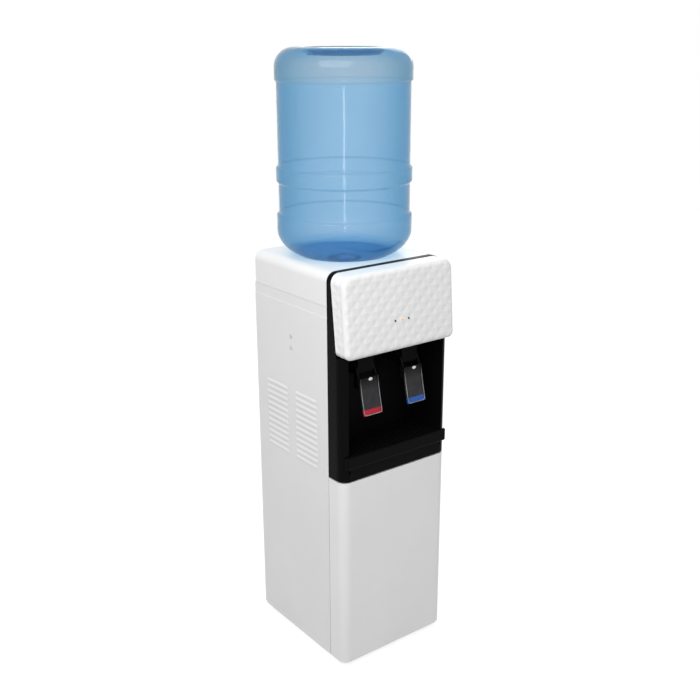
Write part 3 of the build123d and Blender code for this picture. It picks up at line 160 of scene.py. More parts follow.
def makeFinish(name, look):
    # a Principled surface whose colour drifts and whose grain gives bump and roughness
    material = bpy.data.materials.new(name)
    material.use_nodes = True
    tree = material.node_tree
    surface = tree.nodes["Principled BSDF"]
    for socket, value in look.get("sockets", {}).items():
        surface.inputs[socket].default_value = value
    drift = putNode(tree, "ShaderNodeGroup", node_tree=driftGroup)
    drift.inputs["Colour"].default_value = (*look["colour"], 1)
    drift.inputs["Second Colour"].default_value = (*look["second"], 1)
    drift.inputs["Drift Scale"].default_value = look.get("driftScale", 6.0)
    tree.links.new(drift.outputs["Colour"], surface.inputs["Base Color"])
    grain = putNode(tree, "ShaderNodeGroup", node_tree=grainGroup)
    grain.inputs["Grain Scale"].default_value = look.get("grainScale", 900.0)
    grain.inputs["Grain Depth"].default_value = look.get("grainDepth", 0.00002)
    grain.inputs["Roughness"].default_value = look["roughness"]
    grain.inputs["Roughness Spread"].default_value = look.get("spread", 0.08)
    tree.links.new(grain.outputs["Normal"], surface.inputs["Normal"])
    tree.links.new(grain.outputs["Roughness"], surface.inputs["Roughness"])
    return material


finishes = {
    "whiteMoulding": {"colour": (0.84, 0.84, 0.84), "second": (0.81, 0.81, 0.815),
                      "roughness": 0.34, "grainScale": 700.0, "grainDepth": 0.000012},
    "whiteCoat": {"colour": (0.81, 0.81, 0.815), "second": (0.78, 0.78, 0.79),
                  "roughness": 0.42, "grainScale": 1400.0, "grainDepth": 0.00003},
    "linerWhite": {"colour": (0.72, 0.72, 0.71), "second": (0.68, 0.68, 0.67),
                   "roughness": 0.5, "grainScale": 500.0, "grainDepth": 0.00004},
    "glossBlack": {"colour": (0.0035, 0.0035, 0.004), "second": (0.0025, 0.0025, 0.003),
                   "roughness": 0.32, "grainScale": 500.0, "grainDepth": 0.000008,
                   "sockets": {"Specular IOR Level": 0.035}},
    "satinBlack": {"colour": (0.004, 0.004, 0.0045), "second": (0.0028, 0.0028, 0.0032),
                   "roughness": 0.48, "grainScale": 1200.0, "grainDepth": 0.00004,
                   "sockets": {"Specular IOR Level": 0.035}},
    "leverSmoke": {"colour": (0.048, 0.044, 0.047), "second": (0.030, 0.029, 0.032),
                   "roughness": 0.16, "grainScale": 300.0, "grainDepth": 0.00001, "driftScale": 60.0,
                   "sockets": {"Specular IOR Level": 0.08}},
    # painted highlight: pale grey for the lit rims of the smoked paddles
    "leverRimHighlight": {"colour": (0.34, 0.35, 0.36), "second": (0.13, 0.14, 0.15),
                  "roughness": 0.12, "grainScale": 300.0, "grainDepth": 0.00001, "driftScale": 70.0},
    "leverRed": {"colour": (0.52, 0.010, 0.035), "second": (0.38, 0.008, 0.024),
                 "roughness": 0.2, "grainScale": 300.0, "grainDepth": 0.00001, "driftScale": 40.0,
                 "sockets": {"Specular IOR Level": 0.25}},
    "leverBlue": {"colour": (0.018, 0.115, 0.47), "second": (0.012, 0.08, 0.34),
                  "roughness": 0.2, "grainScale": 300.0, "grainDepth": 0.00001, "driftScale": 40.0,
                  "sockets": {"Specular IOR Level": 0.25}},
    "bottleBlue": {"colour": (0.60, 0.73, 0.87), "second": (0.57, 0.705, 0.85),
                   "roughness": 0.12, "spread": 0.06, "grainScale": 16.0, "grainDepth": 0.0016,
                   "driftScale": 5.0, "sockets": {"Transmission Weight": 1.0, "IOR": 1.1,
                                                  "Coat Weight": 0.25, "Coat Roughness": 0.05}},
    "capBlue": {"colour": (0.06, 0.20, 0.55), "second": (0.05, 0.16, 0.48), "roughness": 0.42},
    "lampAmber": {"colour": (0.85, 0.42, 0.08), "second": (0.80, 0.36, 0.05), "roughness": 0.18,
                  "sockets": {"Emission Color": (1.0, 0.5, 0.1, 1), "Emission Strength": 0.35}},
    "lampDark": {"colour": (0.05, 0.03, 0.03), "second": (0.03, 0.02, 0.02), "roughness": 0.15},
    "zincSheet": {"colour": (0.60, 0.61, 0.62), "second": (0.56, 0.57, 0.58), "driftScale": 30.0,
                  "roughness": 0.40, "spread": 0.1, "grainScale": 260.0, "grainDepth": 0.00003,
                  "sockets": {"Metallic": 1.0}},
    "stainless": {"colour": (0.60, 0.60, 0.58), "second": (0.54, 0.54, 0.53),
                  "roughness": 0.25, "sockets": {"Metallic": 1.0}},
    "alloy": {"colour": (0.74, 0.74, 0.76), "second": (0.66, 0.66, 0.68),
              "roughness": 0.38, "sockets": {"Metallic": 1.0}},
    "heaterSteel": {"colour": (0.42, 0.38, 0.33), "second": (0.30, 0.27, 0.26), "driftScale": 18.0,
                    "roughness": 0.42, "sockets": {"Metallic": 1.0}},
    "ceramicWhite": {"colour": (0.82, 0.82, 0.79), "second": (0.76, 0.76, 0.73), "roughness": 0.6},
    "foamCream": {"colour": (0.76, 0.73, 0.62), "second": (0.66, 0.62, 0.50), "driftScale": 60.0,
                  "roughness": 0.9, "grainScale": 350.0, "grainDepth": 0.0004},
    "siliconeMilk": {"colour": (0.74, 0.74, 0.72), "second": (0.68, 0.68, 0.66), "roughness": 0.5},
    "sealGrey": {"colour": (0.34, 0.35, 0.36), "second": (0.28, 0.29, 0.30), "roughness": 0.7},
    "boardGreen": {"colour": (0.03, 0.20, 0.08), "second": (0.02, 0.14, 0.06), "driftScale": 90.0,
                   "roughness": 0.35},
    "mouldedGrey": {"colour": (0.28, 0.29, 0.30), "second": (0.23, 0.24, 0.25), "roughness": 0.5},
    "rubberBlack": {"colour": (0.015, 0.015, 0.016), "second": (0.01, 0.01, 0.011), "roughness": 0.75},
}
materials = {name: makeFinish(name, look) for name, look in finishes.items()}


# heights between which the levers turn dark as painted shade, and the colour that they turn to
leverShadeByHeight = {
    "leverSmoke": {"from": 0.610, "to": 0.636, "dark": (0.004, 0.004, 0.004)},
    "leverRimHighlight": {"from": 0.612, "to": 0.630, "dark": (0.006, 0.006, 0.007)},
}


def paintShadeUpwards(material, look):
    # painted shade: colour mixed into a dark one by height, so the lever and its pale edge go dark towards
    # the top
    tree = material.node_tree
    surface = tree.nodes["Principled BSDF"]
    colour = surface.inputs["Base Color"].links[0].from_socket
    place = putNode(tree, "ShaderNodeTexCoord")
    parts = putNode(tree, "ShaderNodeSeparateXYZ")
    ramp = putNode(tree, "ShaderNodeMapRange", {"From Min": look["from"], "From Max": look["to"]})
    blend = putNode(tree, "ShaderNodeMix", {7: (*look["dark"], 1)}, data_type="RGBA")
    tree.links.new(place.outputs["Object"], parts.inputs[0])
    tree.links.new(parts.outputs["Z"], ramp.inputs["Value"])
    tree.links.new(ramp.outputs["Result"], blend.inputs["Factor"])
    tree.links.new(colour, blend.inputs[6])
    tree.links.new(blend.outputs[2], surface.inputs["Base Color"])


# the bottle's blue: shares of its colour at heights up the bottle, darker near the foot as painted shade,
# and at its rim seen edge on, and the tint of the lamps' light that passes through it
bottleTint = {
    # painted shade: the stops at 0.842 and 0.859 darken the blue near the foot
    "heights": [(0.825, (1.0, 1.0, 1.0)), (0.842, (0.72, 0.87, 0.97)), (0.859, (0.60, 0.82, 0.92)),
                (0.875, (0.98, 1.0, 1.0)), (0.915, (0.885, 0.975, 0.985)), (1.190, (0.90, 0.985, 0.987)),
                (1.200, (1.0, 0.98, 0.925)), (1.236, (1.0, 0.98, 0.925)), (1.252, (0.95, 1.0, 1.0))],
    "edge": (0.42, 0.66, 0.76), "edgeFrom": 0.0, "edgeTo": 0.75,
    "passing": (0.86, 0.94, 0.98),
}


def tintAndShadeBottle(material, look):
    # colour times a ramp over height that holds painted shade near the foot, times a deeper blue where the
    # wall is seen edge on
    tree = material.node_tree
    surface = tree.nodes["Principled BSDF"]
    colour = surface.inputs["Base Color"].links[0].from_socket
    low, high = look["heights"][0][0], look["heights"][-1][0]
    place = putNode(tree, "ShaderNodeTexCoord")
    parts = putNode(tree, "ShaderNodeSeparateXYZ")
    share = putNode(tree, "ShaderNodeMapRange", {"From Min": low, "From Max": high})
    ramp = putNode(tree, "ShaderNodeValToRGB")
    stops = ramp.color_ramp.elements
    while len(stops) < len(look["heights"]):
        stops.new(0.5)
    for stop, (height, tint) in zip(stops, look["heights"]):
        stop.position = (height - low) / (high - low)
        stop.color = (*tint, 1)
    tintAndShadeMix = putNode(tree, "ShaderNodeMix", {0: 1.0}, data_type="RGBA", blend_type="MULTIPLY")
    facing = putNode(tree, "ShaderNodeLayerWeight", {"Blend": 0.5})
    edge = putNode(tree, "ShaderNodeMapRange", {"From Min": look["edgeFrom"], "From Max": look["edgeTo"]})
    byEdge = putNode(tree, "ShaderNodeMix", {7: (*look["edge"], 1)}, data_type="RGBA",
                     blend_type="MULTIPLY")
    tree.links.new(place.outputs["Object"], parts.inputs[0])
    tree.links.new(parts.outputs["Z"], share.inputs["Value"])
    tree.links.new(share.outputs["Result"], ramp.inputs["Fac"])
    tree.links.new(colour, tintAndShadeMix.inputs[6])
    tree.links.new(ramp.outputs["Color"], tintAndShadeMix.inputs[7])
    tree.links.new(facing.outputs["Facing"], edge.inputs["Value"])
    tree.links.new(edge.outputs["Result"], byEdge.inputs["Factor"])
    tree.links.new(tintAndShadeMix.outputs[2], byEdge.inputs[6])
    tree.links.new(byEdge.outputs[2], surface.inputs["Base Color"])


def passLight(material, tint):
    # rays to the lamps go straight through with a tint, so the shadow is pale and coloured
    tree = material.node_tree
    output = tree.nodes["Material Output"]
    paths = putNode(tree, "ShaderNodeLightPath")
    clear = putNode(tree, "ShaderNodeBsdfTransparent", {"Color": (*tint, 1)})
    pick = putNode(tree, "ShaderNodeMixShader")
    tree.links.new(paths.outputs["Is Shadow Ray"], pick.inputs[0])
    tree.links.new(tree.nodes["Principled BSDF"].outputs[0], pick.inputs[1])
    tree.links.new(clear.outputs[0], pick.inputs[2])
    tree.links.new(pick.outputs[0], output.inputs["Surface"])


for finishName, look in leverShadeByHeight.items():
    paintShadeUpwards(materials[finishName], look)
tintAndShadeBottle(materials["bottleBlue"], bottleTint)
passLight(materials["bottleBlue"], bottleTint["passing"])
print("materials built:", len(materials))

# which finish each solid of the frame takes
finishOf = {
    "whiteMoulding": ["top_cover", "bottle_collar", "bottle_probe", "door_outer"],
    "whiteCoat": ["side_panel_left", "side_panel_right"],
    "linerWhite": ["storage_liner", "door_inner"],
    "glossBlack": ["fascia_frame", "drip_tray"],
    "satinBlack": ["niche_liner", "hot_tap_body", "cold_tap_body", "drip_grille", "fan_guard",
                   "fan_housing", "fan_rotor", "power_inlet", "switch_bezels"],
    "leverSmoke": ["hot_lever", "cold_lever"],
    "leverRed": ["hot_lever_tip", "heating_switch"],
    "leverBlue": ["cold_lever_tip", "cooling_switch"],
    "capBlue": ["cap_plug", "bottle_cap"],
    "lampAmber": ["lamp_power"],
    "lampDark": ["lamp_heating", "lamp_cooling"],
    "zincSheet": ["base_pan", "deck_plate", "rear_panel", "rear_screws", "side_screws",
                  "tank_brackets", "power_supply", "door_magnet", "catch_plate"],
    "stainless": ["cold_tank", "hot_tank", "lever_pins", "hinge_pins"],
    "alloy": ["cold_block", "heat_sink"],
    "heaterSteel": ["band_heater"],
    "ceramicWhite": ["thermoelectric_module"],
    "foamCream": ["cold_tank_insulation", "tank_lid_insulation", "hot_tank_insulation"],
    "siliconeMilk": ["feed_hose", "hot_outlet_hose", "cold_outlet_pipe"],
    "sealGrey": ["door_gasket"],
    "boardGreen": ["indicator_board"],
    "mouldedGrey": ["drain_pipe", "drain_cap"],
    "rubberBlack": ["feet"],
}
for finishName, members in finishOf.items():
    for member in members:
        nodes[member].data.materials.clear()
        nodes[member].data.materials.append(materials[finishName])
print("frame nodes finished")


def makePiece(name, vertices, faces, material, body, sharpAngle=35.0):
    # a mesh object at the origin, smooth except at corners sharper than the angle
    mesh = bpy.data.meshes.new(name)
    mesh.from_pydata(np.asarray(vertices).tolist(), [], faces)
    mesh.validate()
    mesh.polygons.foreach_set("use_smooth", [True] * len(mesh.polygons))
    mesh.set_sharp_from_angle(angle=math.radians(sharpAngle))
    mesh.materials.append(material)
    piece = bpy.data.objects.new(name, mesh)
    scene.collection.objects.link(piece)
    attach(piece, body)
    return piece


def gridFaces(rows, columns, closed=False):
    # quads of a grid stored row by row; closed joins the last column to the first
    row, column = np.meshgrid(np.arange(rows - 1), np.arange(columns if closed else columns - 1),
                              indexing="ij")
    after = (column + 1) % columns
    quads = np.stack([row * columns + column, row * columns + after,
                      (row + 1) * columns + after, (row + 1) * columns + column], axis=-1)
    return quads.reshape(-1, 4).tolist()


def roundedPath(corners, radii, stepDegrees=6.0):
    # a polyline whose corners are replaced by arcs tangent to both runs
    path = [np.array(corners[0], float)]
    for before, here, after, radius in zip(corners, corners[1:], corners[2:], radii):
        before, here, after = (np.array(p, float) for p in (before, here, after))
        inward = (before - here) / np.linalg.norm(before - here)
        outward = (after - here) / np.linalg.norm(after - here)
        turn = math.pi - math.acos(np.clip(inward @ outward, -1, 1))
        if radius <= 0 or turn < 1e-4:
            path.append(here)
            continue
        reach = radius * math.tan(turn / 2)
        start, end = here + inward * reach, here + outward * reach
        middle = here + (inward + outward) / np.linalg.norm(inward + outward) * radius / math.cos(turn / 2)
        count = max(2, math.ceil(math.degrees(turn) / stepDegrees)) + 1
        share = np.linspace(0, 1, count)[:, None]
        spokes = (start - middle) * np.sin((1 - share) * turn) + (end - middle) * np.sin(share * turn)
        path.extend(middle + spokes / math.sin(turn))
    path.append(np.array(corners[-1], float))
    return np.array(path)


def revolve(profile, centre, turns):
    # a profile of (radius, height) turned round a vertical axis: the centre plus radius times
    # the cosine and sine of an even angle
    angle = np.linspace(0, 2 * math.pi, turns, endpoint=False)
    radius, height = profile[:, :1], profile[:, 1:]
    points = np.stack([centre[0] + radius * np.cos(angle), centre[1] + radius * np.sin(angle),
                       np.broadcast_to(height, (len(profile), turns))], axis=-1)
    return points.reshape(-1, 3)


# water bottle: a blown shell with three rings, standing on its shoulder
bottleLook = {
    "wall": 0.0016,
    "ring": 0.1375, "body": 0.133, "baseRing": 0.1365, "neck": 0.0275,
    "neckTop": 0.066, "neckCorner": 0.0025, "shoulderFoot": 0.030, "shoulderTop": 0.130,
    "lowRingTop": 0.1655, "middleRing": (0.2237, 0.2592), "baseStart": 0.419,
    "blend": 0.005, "softCorner": 0.004, "baseRound": 0.038, "pushUp": 0.014,
    "shoulderSteps": 30, "turns": 160, "sharpAngle": 60.0,
}


def bottleProfile(look, bottom, top, inset):
    # half section from the mouth up the neck, over the shoulder's quarter ellipse, past the
    # rings and round the base to the axis; inset moves it inwards
    foot, ring = look["shoulderFoot"], look["ring"]
    angle = np.radians(np.linspace(-90, 0, look["shoulderSteps"]))
    shoulder = np.stack([foot + (ring - foot - inset) * np.cos(angle),
                         bottom + look["shoulderTop"]
                         + (look["shoulderTop"] - look["neckTop"] - inset) * np.sin(angle)], axis=-1)
    neck = look["neck"] - inset
    neckLine = [(neck, bottom), (neck, bottom + look["neckTop"] - look["neckCorner"])]
    corners, radii = [tuple(shoulder[-1])], []
    blend, soft = look["blend"], look["softCorner"]
    for height, low, high in ((look["lowRingTop"], ring, look["body"]),
                              (look["middleRing"][0], look["body"], ring),
                              (look["middleRing"][1], ring, look["body"]),
                              (look["baseStart"], look["body"], look["baseRing"])):
        start = bottom + height - (blend if low > high else 0)
        corners += [(low - inset, start), (high - inset, start + blend)]
        radii += [soft, soft]
    base = look["baseRing"] - inset
    crown = top - inset
    deep = look["pushUp"]
    corners += [(base, crown), (base - look["baseRound"] + inset - deep, crown),
                (base - look["baseRound"] + inset - 2 * deep, crown - deep), (0, crown - deep)]
    radii += [look["baseRound"] - inset, deep / 2, deep / 2]
    return np.concatenate([neckLine, shoulder, roundedPath(corners, radii)[1:]])


bottleLow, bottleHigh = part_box("bottle")
bottleCentre = ((bottleLow.x + bottleHigh.x) / 2, (bottleLow.y + bottleHigh.y) / 2)
outside = bottleProfile(bottleLook, bottleLow.z, bottleHigh.z, 0.0)
inside = bottleProfile(bottleLook, bottleLow.z, bottleHigh.z, bottleLook["wall"])
turns = bottleLook["turns"]
outerSkin = revolve(outside[:-1], bottleCentre, turns)
innerSkin = revolve(inside[:-1], bottleCentre, turns)
skins = np.concatenate([outerSkin, innerSkin,
                        [[*bottleCentre, outside[-1][1]], [*bottleCentre, inside[-1][1]]]])
outerFaces = gridFaces(len(outside) - 1, turns, closed=True)
innerShift = len(outerSkin)
innerFaces = [[innerShift + i for i in reversed(face)]
              for face in gridFaces(len(inside) - 1, turns, closed=True)]
mouthFaces = [[innerShift + i, innerShift + (i + 1) % turns, (i + 1) % turns, i] for i in range(turns)]
lastOuter, lastInner = innerShift - turns, innerShift + len(innerSkin) - turns
poleOuter, poleInner = len(skins) - 2, len(skins) - 1
capFaces = [[lastOuter + i, lastOuter + (i + 1) % turns, poleOuter] for i in range(turns)]
capFaces += [[lastInner + (i + 1) % turns, lastInner + i, poleInner] for i in range(turns)]
bottlePiece = makePiece("bottle_shell", skins, outerFaces + innerFaces + mouthFaces + capFaces,
                        materials["bottleBlue"], "water_bottle",
                        bottleLook["sharpAngle"])
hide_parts("bottle")
print("bottle built")

# indicator panel: leaning white cover with a field of shallow diamond facets
panelLook = {
    "nose": 0.018, "brow": 0.005, "rearLow": 0.0185, "rearHigh": 0.036,
    "topCorner": 0.020, "lowCorner": 0.014, "edge": 0.010, "wall": 0.0025,
    "cellWidth": 0.0150, "cellHeight": 0.0145, "relief": 0.0010, "plainEdge": 0.0005, "fade": 0.004,
    "straightShare": 0.35, "step": 0.001, "edgeSteps": 12, "sideSteps": 22, "sideFade": 8,
    "sharpAngle": 40.0,
}


def facetValley(look, across, up):
    # 0 on the peaks of a lattice of diamonds and 1 in its valleys: a share of a straight slope,
    # and the rest eased at both ends by a cosine
    u, v = across / look["cellWidth"], up / look["cellHeight"]
    a, b = (u + v) / 2, (u - v) / 2
    depth = np.maximum(np.abs(a - np.round(a)), np.abs(b - np.round(b))) * 2
    straight = look["straightShare"]
    return straight * depth + (1 - straight) * (1 - np.cos(math.pi * depth)) / 2


def outlineDistance(x, z, half, low, high, topCorner, lowCorner):
    # distance inwards from a rectangle with two corner radii
    corner = np.where(z > (low + high) / 2, topCorner, lowCorner)
    acrossX = np.abs(x) - (half - corner)
    acrossZ = np.abs(z - (low + high) / 2) - ((high - low) / 2 - corner)
    away = np.hypot(np.maximum(acrossX, 0), np.maximum(acrossZ, 0))
    return corner - away - np.minimum(np.maximum(acrossX, acrossZ), 0)


def edgeSpread(look, low, high):
    # positions from low to high: crowded within the rounded edges, even between them
    edge = look["edge"]
    near = edge * (1 - np.cos(np.linspace(0, math.pi / 2, look["edgeSteps"])))
    count = max(2, round((high - low - 2 * edge) / look["step"]) + 1)
    middle = np.linspace(low + edge, high - edge, count)
    return np.concatenate([low + near[:-1], middle, (high - near[:-1])[::-1]])


def panelShape(look, fasciaFront, low, high, half):
    # grid of x and z over the outline; y is the leaning face, dropped round its edge by an arc
    # and pushed in between the peaks of the diamonds
    z = edgeSpread(look, low, high)
    flat = edgeSpread(look, -half, half) / half
    corner = np.where(z > (low + high) / 2, look["topCorner"], look["lowCorner"])
    rise = np.maximum(corner - np.minimum(z - low, high - z), 0)
    width = half - corner + np.sqrt(np.maximum(corner ** 2 - rise ** 2, 0))
    gridZ = np.repeat(z[:, None], len(flat), axis=1)
    gridX = width[:, None] * flat[None, :]
    lean = (gridZ - low) / (high - low)
    face = fasciaFront - look["nose"] + lean * (look["nose"] - look["brow"])
    inward = outlineDistance(gridX, gridZ, half, low, high, look["topCorner"], look["lowCorner"])
    left = np.clip(look["edge"] - inward, 0, look["edge"])
    drop = look["edge"] - np.sqrt(look["edge"] ** 2 - left ** 2)
    valley = facetValley(look, gridX, gridZ - low)
    fade = np.clip((inward - look["plainEdge"]) / look["fade"], 0, 1)
    gridY = face + drop + look["relief"] * valley * fade
    return gridX, gridY, gridZ


def panelSides(look, rimPoints, rearY, low):
    # the rim carried back in even steps to the rear edge, and pushed in between the peaks of the
    # same diamonds, most where the wall faces sideways
    share = np.linspace(0, 1, look["sideSteps"] + 1)[1:, None]
    run = np.roll(rimPoints, -1, axis=0) - np.roll(rimPoints, 1, axis=0)
    inwardX, inwardZ = -run[:, 2], run[:, 0]
    size = np.hypot(inwardX, inwardZ)
    inwardX, inwardZ = inwardX / size, inwardZ / size
    depth = (rearY - rimPoints[:, 1])[None, :] * share
    valley = facetValley(look, np.abs(rimPoints[:, 0]) + depth, rimPoints[:, 2] - low)
    fade = np.clip(look["sideFade"] * np.minimum(share, 1 - share), 0, 1)
    push = look["relief"] * valley * np.abs(inwardX) * fade
    return np.stack([rimPoints[:, 0] + push * inwardX, rimPoints[:, 1] + depth,
                     rimPoints[:, 2] + push * inwardZ], axis=-1)


panelLow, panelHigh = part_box("indicator_panel")
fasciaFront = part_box("fascia_frame")[0].y
gx, gy, gz = panelShape(panelLook, fasciaFront, panelLow.z, panelHigh.z, panelHigh.x)
rows, columns = gx.shape
front = np.stack([gx, gy, gz], axis=-1).reshape(-1, 3)
order = np.arange(rows * columns).reshape(rows, columns)
rim = np.concatenate([order[0, :-1], order[:-1, -1], order[-1, :0:-1], order[:0:-1, 0]])
rimPoints = front[rim]
panelLean = (rimPoints[:, 2] - panelLow.z) / (panelHigh.z - panelLow.z)
rearY = fasciaFront + panelLook["rearLow"] + panelLean * (panelLook["rearHigh"] - panelLook["rearLow"])
middlePoint = np.array([0, 0, (panelLow.z + panelHigh.z) / 2])
shrink = np.array([1 - panelLook["wall"] / panelHigh.x, 1,
                   1 - 2 * panelLook["wall"] / (panelHigh.z - panelLow.z)])
sideWall = panelSides(panelLook, rimPoints, rearY, panelLow.z)
rearRing = sideWall[-1]
innerRear = (rearRing - middlePoint) * shrink + middlePoint
innerFront = innerRear.copy()
innerFront[:, 1] = rimPoints[:, 1] + panelLook["wall"]
rings = np.concatenate([sideWall, [innerRear, innerFront]])
count, base = len(rim), len(front)
ringIndex = np.concatenate([rim[None, :], base + np.arange(rings.shape[0] * count).reshape(-1, count)])
nextIndex = np.roll(ringIndex, -1, axis=1)
ringFaces = np.stack([ringIndex[:-1], ringIndex[1:], nextIndex[1:], nextIndex[:-1]], axis=-1)
panelPoints = np.concatenate([front, rings.reshape(-1, 3)])
panelFaces = gridFaces(rows, columns) + ringFaces.reshape(-1, 4).tolist() + [ringIndex[-1].tolist()]
panelPiece = makePiece("faceted_panel", panelPoints, panelFaces, materials["whiteMoulding"],
                       "cabinet", panelLook["sharpAngle"])
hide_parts("indicator_panel")
print("indicator panel built")

# levers: painted highlights, a pale tube along the edges of each paddle and a small white dome at its top
# for a glint
leverLook = {
    "halfWidth": 0.0228, "height": 0.074, "backAt": (0.005, 0.014, 0.0206),
    "rimAhead": 0.0012, "corner": 0.006, "cornerDegrees": 12.0, "edgeInset": 0.0007,
    "tubeRadius": 0.0009, "tubeStep": 0.004, "tubeSides": 8,
    "glintAside": 0.0045, "glintDown": 0.0045, "glintSunk": 0.0002,
    "glintSize": (0.0052, 0.0034, 0.0016), "glintRings": 5, "glintSides": 20,
}


def paddleDepth(look, rise):
    # quadratic through the paddle's depth at its foot, middle and top
    low, middle, high = look["backAt"]
    t = np.asarray(rise) / look["height"]
    return low + t * (4 * middle - 3 * low - high) + t * t * 2 * (low + high - 2 * middle)


def tubeAlong(path, radius, sides):
    # circle of points carried along a path, square to its run, ends closed by fans
    run = np.gradient(path, axis=0)
    run /= np.linalg.norm(run, axis=1, keepdims=True)
    across = np.cross(run, [0.0, 1.0, 0.0])
    across /= np.linalg.norm(across, axis=1, keepdims=True)
    other = np.cross(run, across)
    angle = np.linspace(0, 2 * math.pi, sides, endpoint=False)
    ring = np.cos(angle)[None, :, None] * across[:, None] + np.sin(angle)[None, :, None] * other[:, None]
    points = (path[:, None] + radius * ring).reshape(-1, 3)
    faces = gridFaces(len(path), sides, closed=True)
    first, last = len(points), len(points) + 1
    points = np.concatenate([points, path[:1], path[-1:]])
    tail = first - sides
    faces += [[(i + 1) % sides, i, first] for i in range(sides)]
    faces += [[tail + i, tail + (i + 1) % sides, last] for i in range(sides)]
    return points, [face[::-1] for face in faces]


def rimHighlightPath(look, middle, foot):
    # path of the painted edge highlight: down one side of the paddle, round its foot and up the other
    # side, just ahead of its face
    half = look["halfWidth"] - look["edgeInset"]
    low = look["edgeInset"]
    flat = roundedPath([(-half, look["height"]), (-half, low), (half, low), (half, look["height"])],
                       [look["corner"], look["corner"]], look["cornerDegrees"])
    pieces = [flat[:1]]
    for start, end in zip(flat, flat[1:]):
        steps = max(1, int(np.linalg.norm(end - start) / look["tubeStep"]))
        share = np.linspace(0, 1, steps + 1)[1:, None]
        pieces.append(start + (end - start) * share)
    flat = np.concatenate(pieces)
    y = fasciaFront + paddleDepth(look, flat[:, 1]) - look["rimAhead"]
    return np.stack([middle + flat[:, 0], y, foot + flat[:, 1]], axis=-1)


def domePiece(centre, size, rings, sides):
    # half an ellipsoid standing on a wall that faces -y: angle from the pole, angle round it
    fall = np.linspace(0, math.pi / 2, rings + 1)[1:, None]
    turn = np.linspace(0, 2 * math.pi, sides, endpoint=False)
    points = np.stack([centre[0] + size[0] * np.sin(fall) * np.cos(turn),
                       centre[1] - size[2] * np.cos(fall) * np.ones_like(turn),
                       centre[2] + size[1] * np.sin(fall) * np.sin(turn)], axis=-1).reshape(-1, 3)
    pole, foot = len(points), len(points) + 1
    tail = pole - sides
    points = np.concatenate([points, [[centre[0], centre[1] - size[2], centre[2]]], [centre]])
    faces = gridFaces(rings, sides, closed=True)
    faces += [[(i + 1) % sides, i, pole] for i in range(sides)]
    faces += [[tail + i, tail + (i + 1) % sides, foot] for i in range(sides)]
    return points, [face[::-1] for face in faces]


for name in ("hot", "cold"):
    tipLow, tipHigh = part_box(name + "_lever_tip")
    middle, foot = (tipLow.x + tipHigh.x) / 2, tipLow.z
    rimHighlightPoints, rimHighlightFaces = tubeAlong(rimHighlightPath(leverLook, middle, foot),
                                      leverLook["tubeRadius"], leverLook["tubeSides"])
    makePiece(name + "_lever_rim_highlight", rimHighlightPoints, rimHighlightFaces, materials["leverRimHighlight"],
              name + "_paddle")
    # painted highlight: a white dome where the paddle's curved top shows a glint
    rise = leverLook["height"] - leverLook["glintDown"]
    glintAt = [middle + leverLook["glintAside"],
               fasciaFront + float(paddleDepth(leverLook, rise)) + leverLook["glintSunk"], foot + rise]
    glintPoints, glintFaces = domePiece(glintAt, leverLook["glintSize"],
                                        leverLook["glintRings"], leverLook["glintSides"])
    makePiece(name + "_lever_glint", glintPoints, glintFaces, materials["whiteMoulding"],
              name + "_paddle")
print("lever edges built")

# floor, white surround and lamps
stageLook = {
    "floorSize": 40.0, "floorColour": (0.45, 0.45, 0.45, 1), "floorGlow": 0.71,
    "worldFill": 0.66,
}


def backgroundRays(tree):
    # 1 for rays from the camera, from glossy surfaces and through the bottle, and 0 for the rest
    paths = putNode(tree, "ShaderNodeLightPath")
    first = putNode(tree, "ShaderNodeMath", operation="MAXIMUM")
    second = putNode(tree, "ShaderNodeMath", operation="MAXIMUM")
    tree.links.new(paths.outputs["Is Camera Ray"], first.inputs[0])
    tree.links.new(paths.outputs["Is Glossy Ray"], first.inputs[1])
    tree.links.new(first.outputs[0], second.inputs[0])
    tree.links.new(paths.outputs["Is Transmission Ray"], second.inputs[1])
    return second.outputs[0]


floorMesh = bpy.data.meshes.new("floor")
reach = stageLook["floorSize"] / 2
floorMesh.from_pydata([(-reach, -reach, 0), (reach, -reach, 0), (reach, reach, 0), (-reach, reach, 0)],
                      [], [(0, 1, 2, 3)])
floor = bpy.data.objects.new("floor", floorMesh)
scene.collection.objects.link(floor)

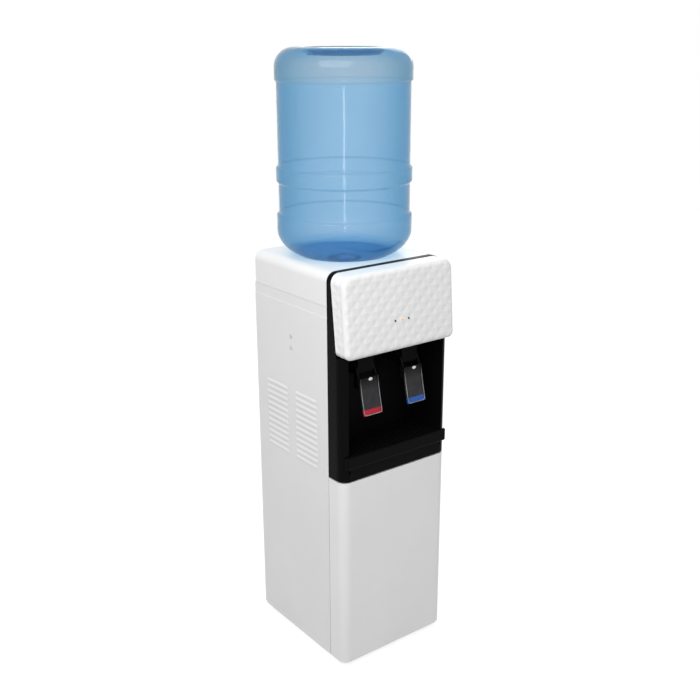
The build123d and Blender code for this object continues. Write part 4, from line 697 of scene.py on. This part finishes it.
floorMaterial = bpy.data.materials.new("floorPaper")
floorMaterial.use_nodes = True
floorTree = floorMaterial.node_tree
paper = floorTree.nodes["Principled BSDF"]
paper.inputs["Base Color"].default_value = stageLook["floorColour"]
paper.inputs["Roughness"].default_value = 0.9
paper.inputs["Specular IOR Level"].default_value = 0.0
paper.inputs["Emission Color"].default_value = (1, 1, 1, 1)
glow = putNode(floorTree, "ShaderNodeMath", {1: stageLook["floorGlow"]}, operation="MULTIPLY")
floorTree.links.new(backgroundRays(floorTree), glow.inputs[0])
floorTree.links.new(glow.outputs[0], paper.inputs["Emission Strength"])
floorMesh.materials.append(floorMaterial)

world = bpy.data.worlds.new("surround")
scene.world = world
world.use_nodes = True
worldTree = world.node_tree
sky = worldTree.nodes["Background"]
sky.inputs["Color"].default_value = (1, 1, 1, 1)
skyLevel = putNode(worldTree, "ShaderNodeMapRange", {"To Min": stageLook["worldFill"], "To Max": 1.0})
worldTree.links.new(backgroundRays(worldTree), skyLevel.inputs["Value"])
worldTree.links.new(skyLevel.outputs["Result"], sky.inputs["Strength"])

lampLook = {
    "keyLeft": {"at": (-0.98, -0.78, 1.78), "aim": (0, 0, 0.6), "size": (1.2, 0.9), "watts": 17.0},
    "fillBack": {"at": (1.5, 1.3, 1.9), "aim": (0, 0, 0.6), "size": (1.2, 1.2), "watts": 9.0},
    "stripFront": {"at": (-0.87, -1.15, 0.90), "aim": (0, 0.02, 0.90), "size": (0.07, 0.42), "watts": 1.1},
}
for lampName, look in lampLook.items():
    lampData = bpy.data.lights.new(lampName, "AREA")
    lampData.shape = "RECTANGLE"
    lampData.size, lampData.size_y = look["size"]
    lampData.energy = look["watts"]
    lamp = bpy.data.objects.new(lampName, lampData)
    scene.collection.objects.link(lamp)
    lamp.location = look["at"]
    lamp.rotation_mode = "QUATERNION"
    lamp.rotation_quaternion = (Vector(look["aim"]) - Vector(look["at"])).to_track_quat("-Z", "Y")
    lamp.visible_camera = False
    lamp.visible_transmission = False
print("stage and lamps set")
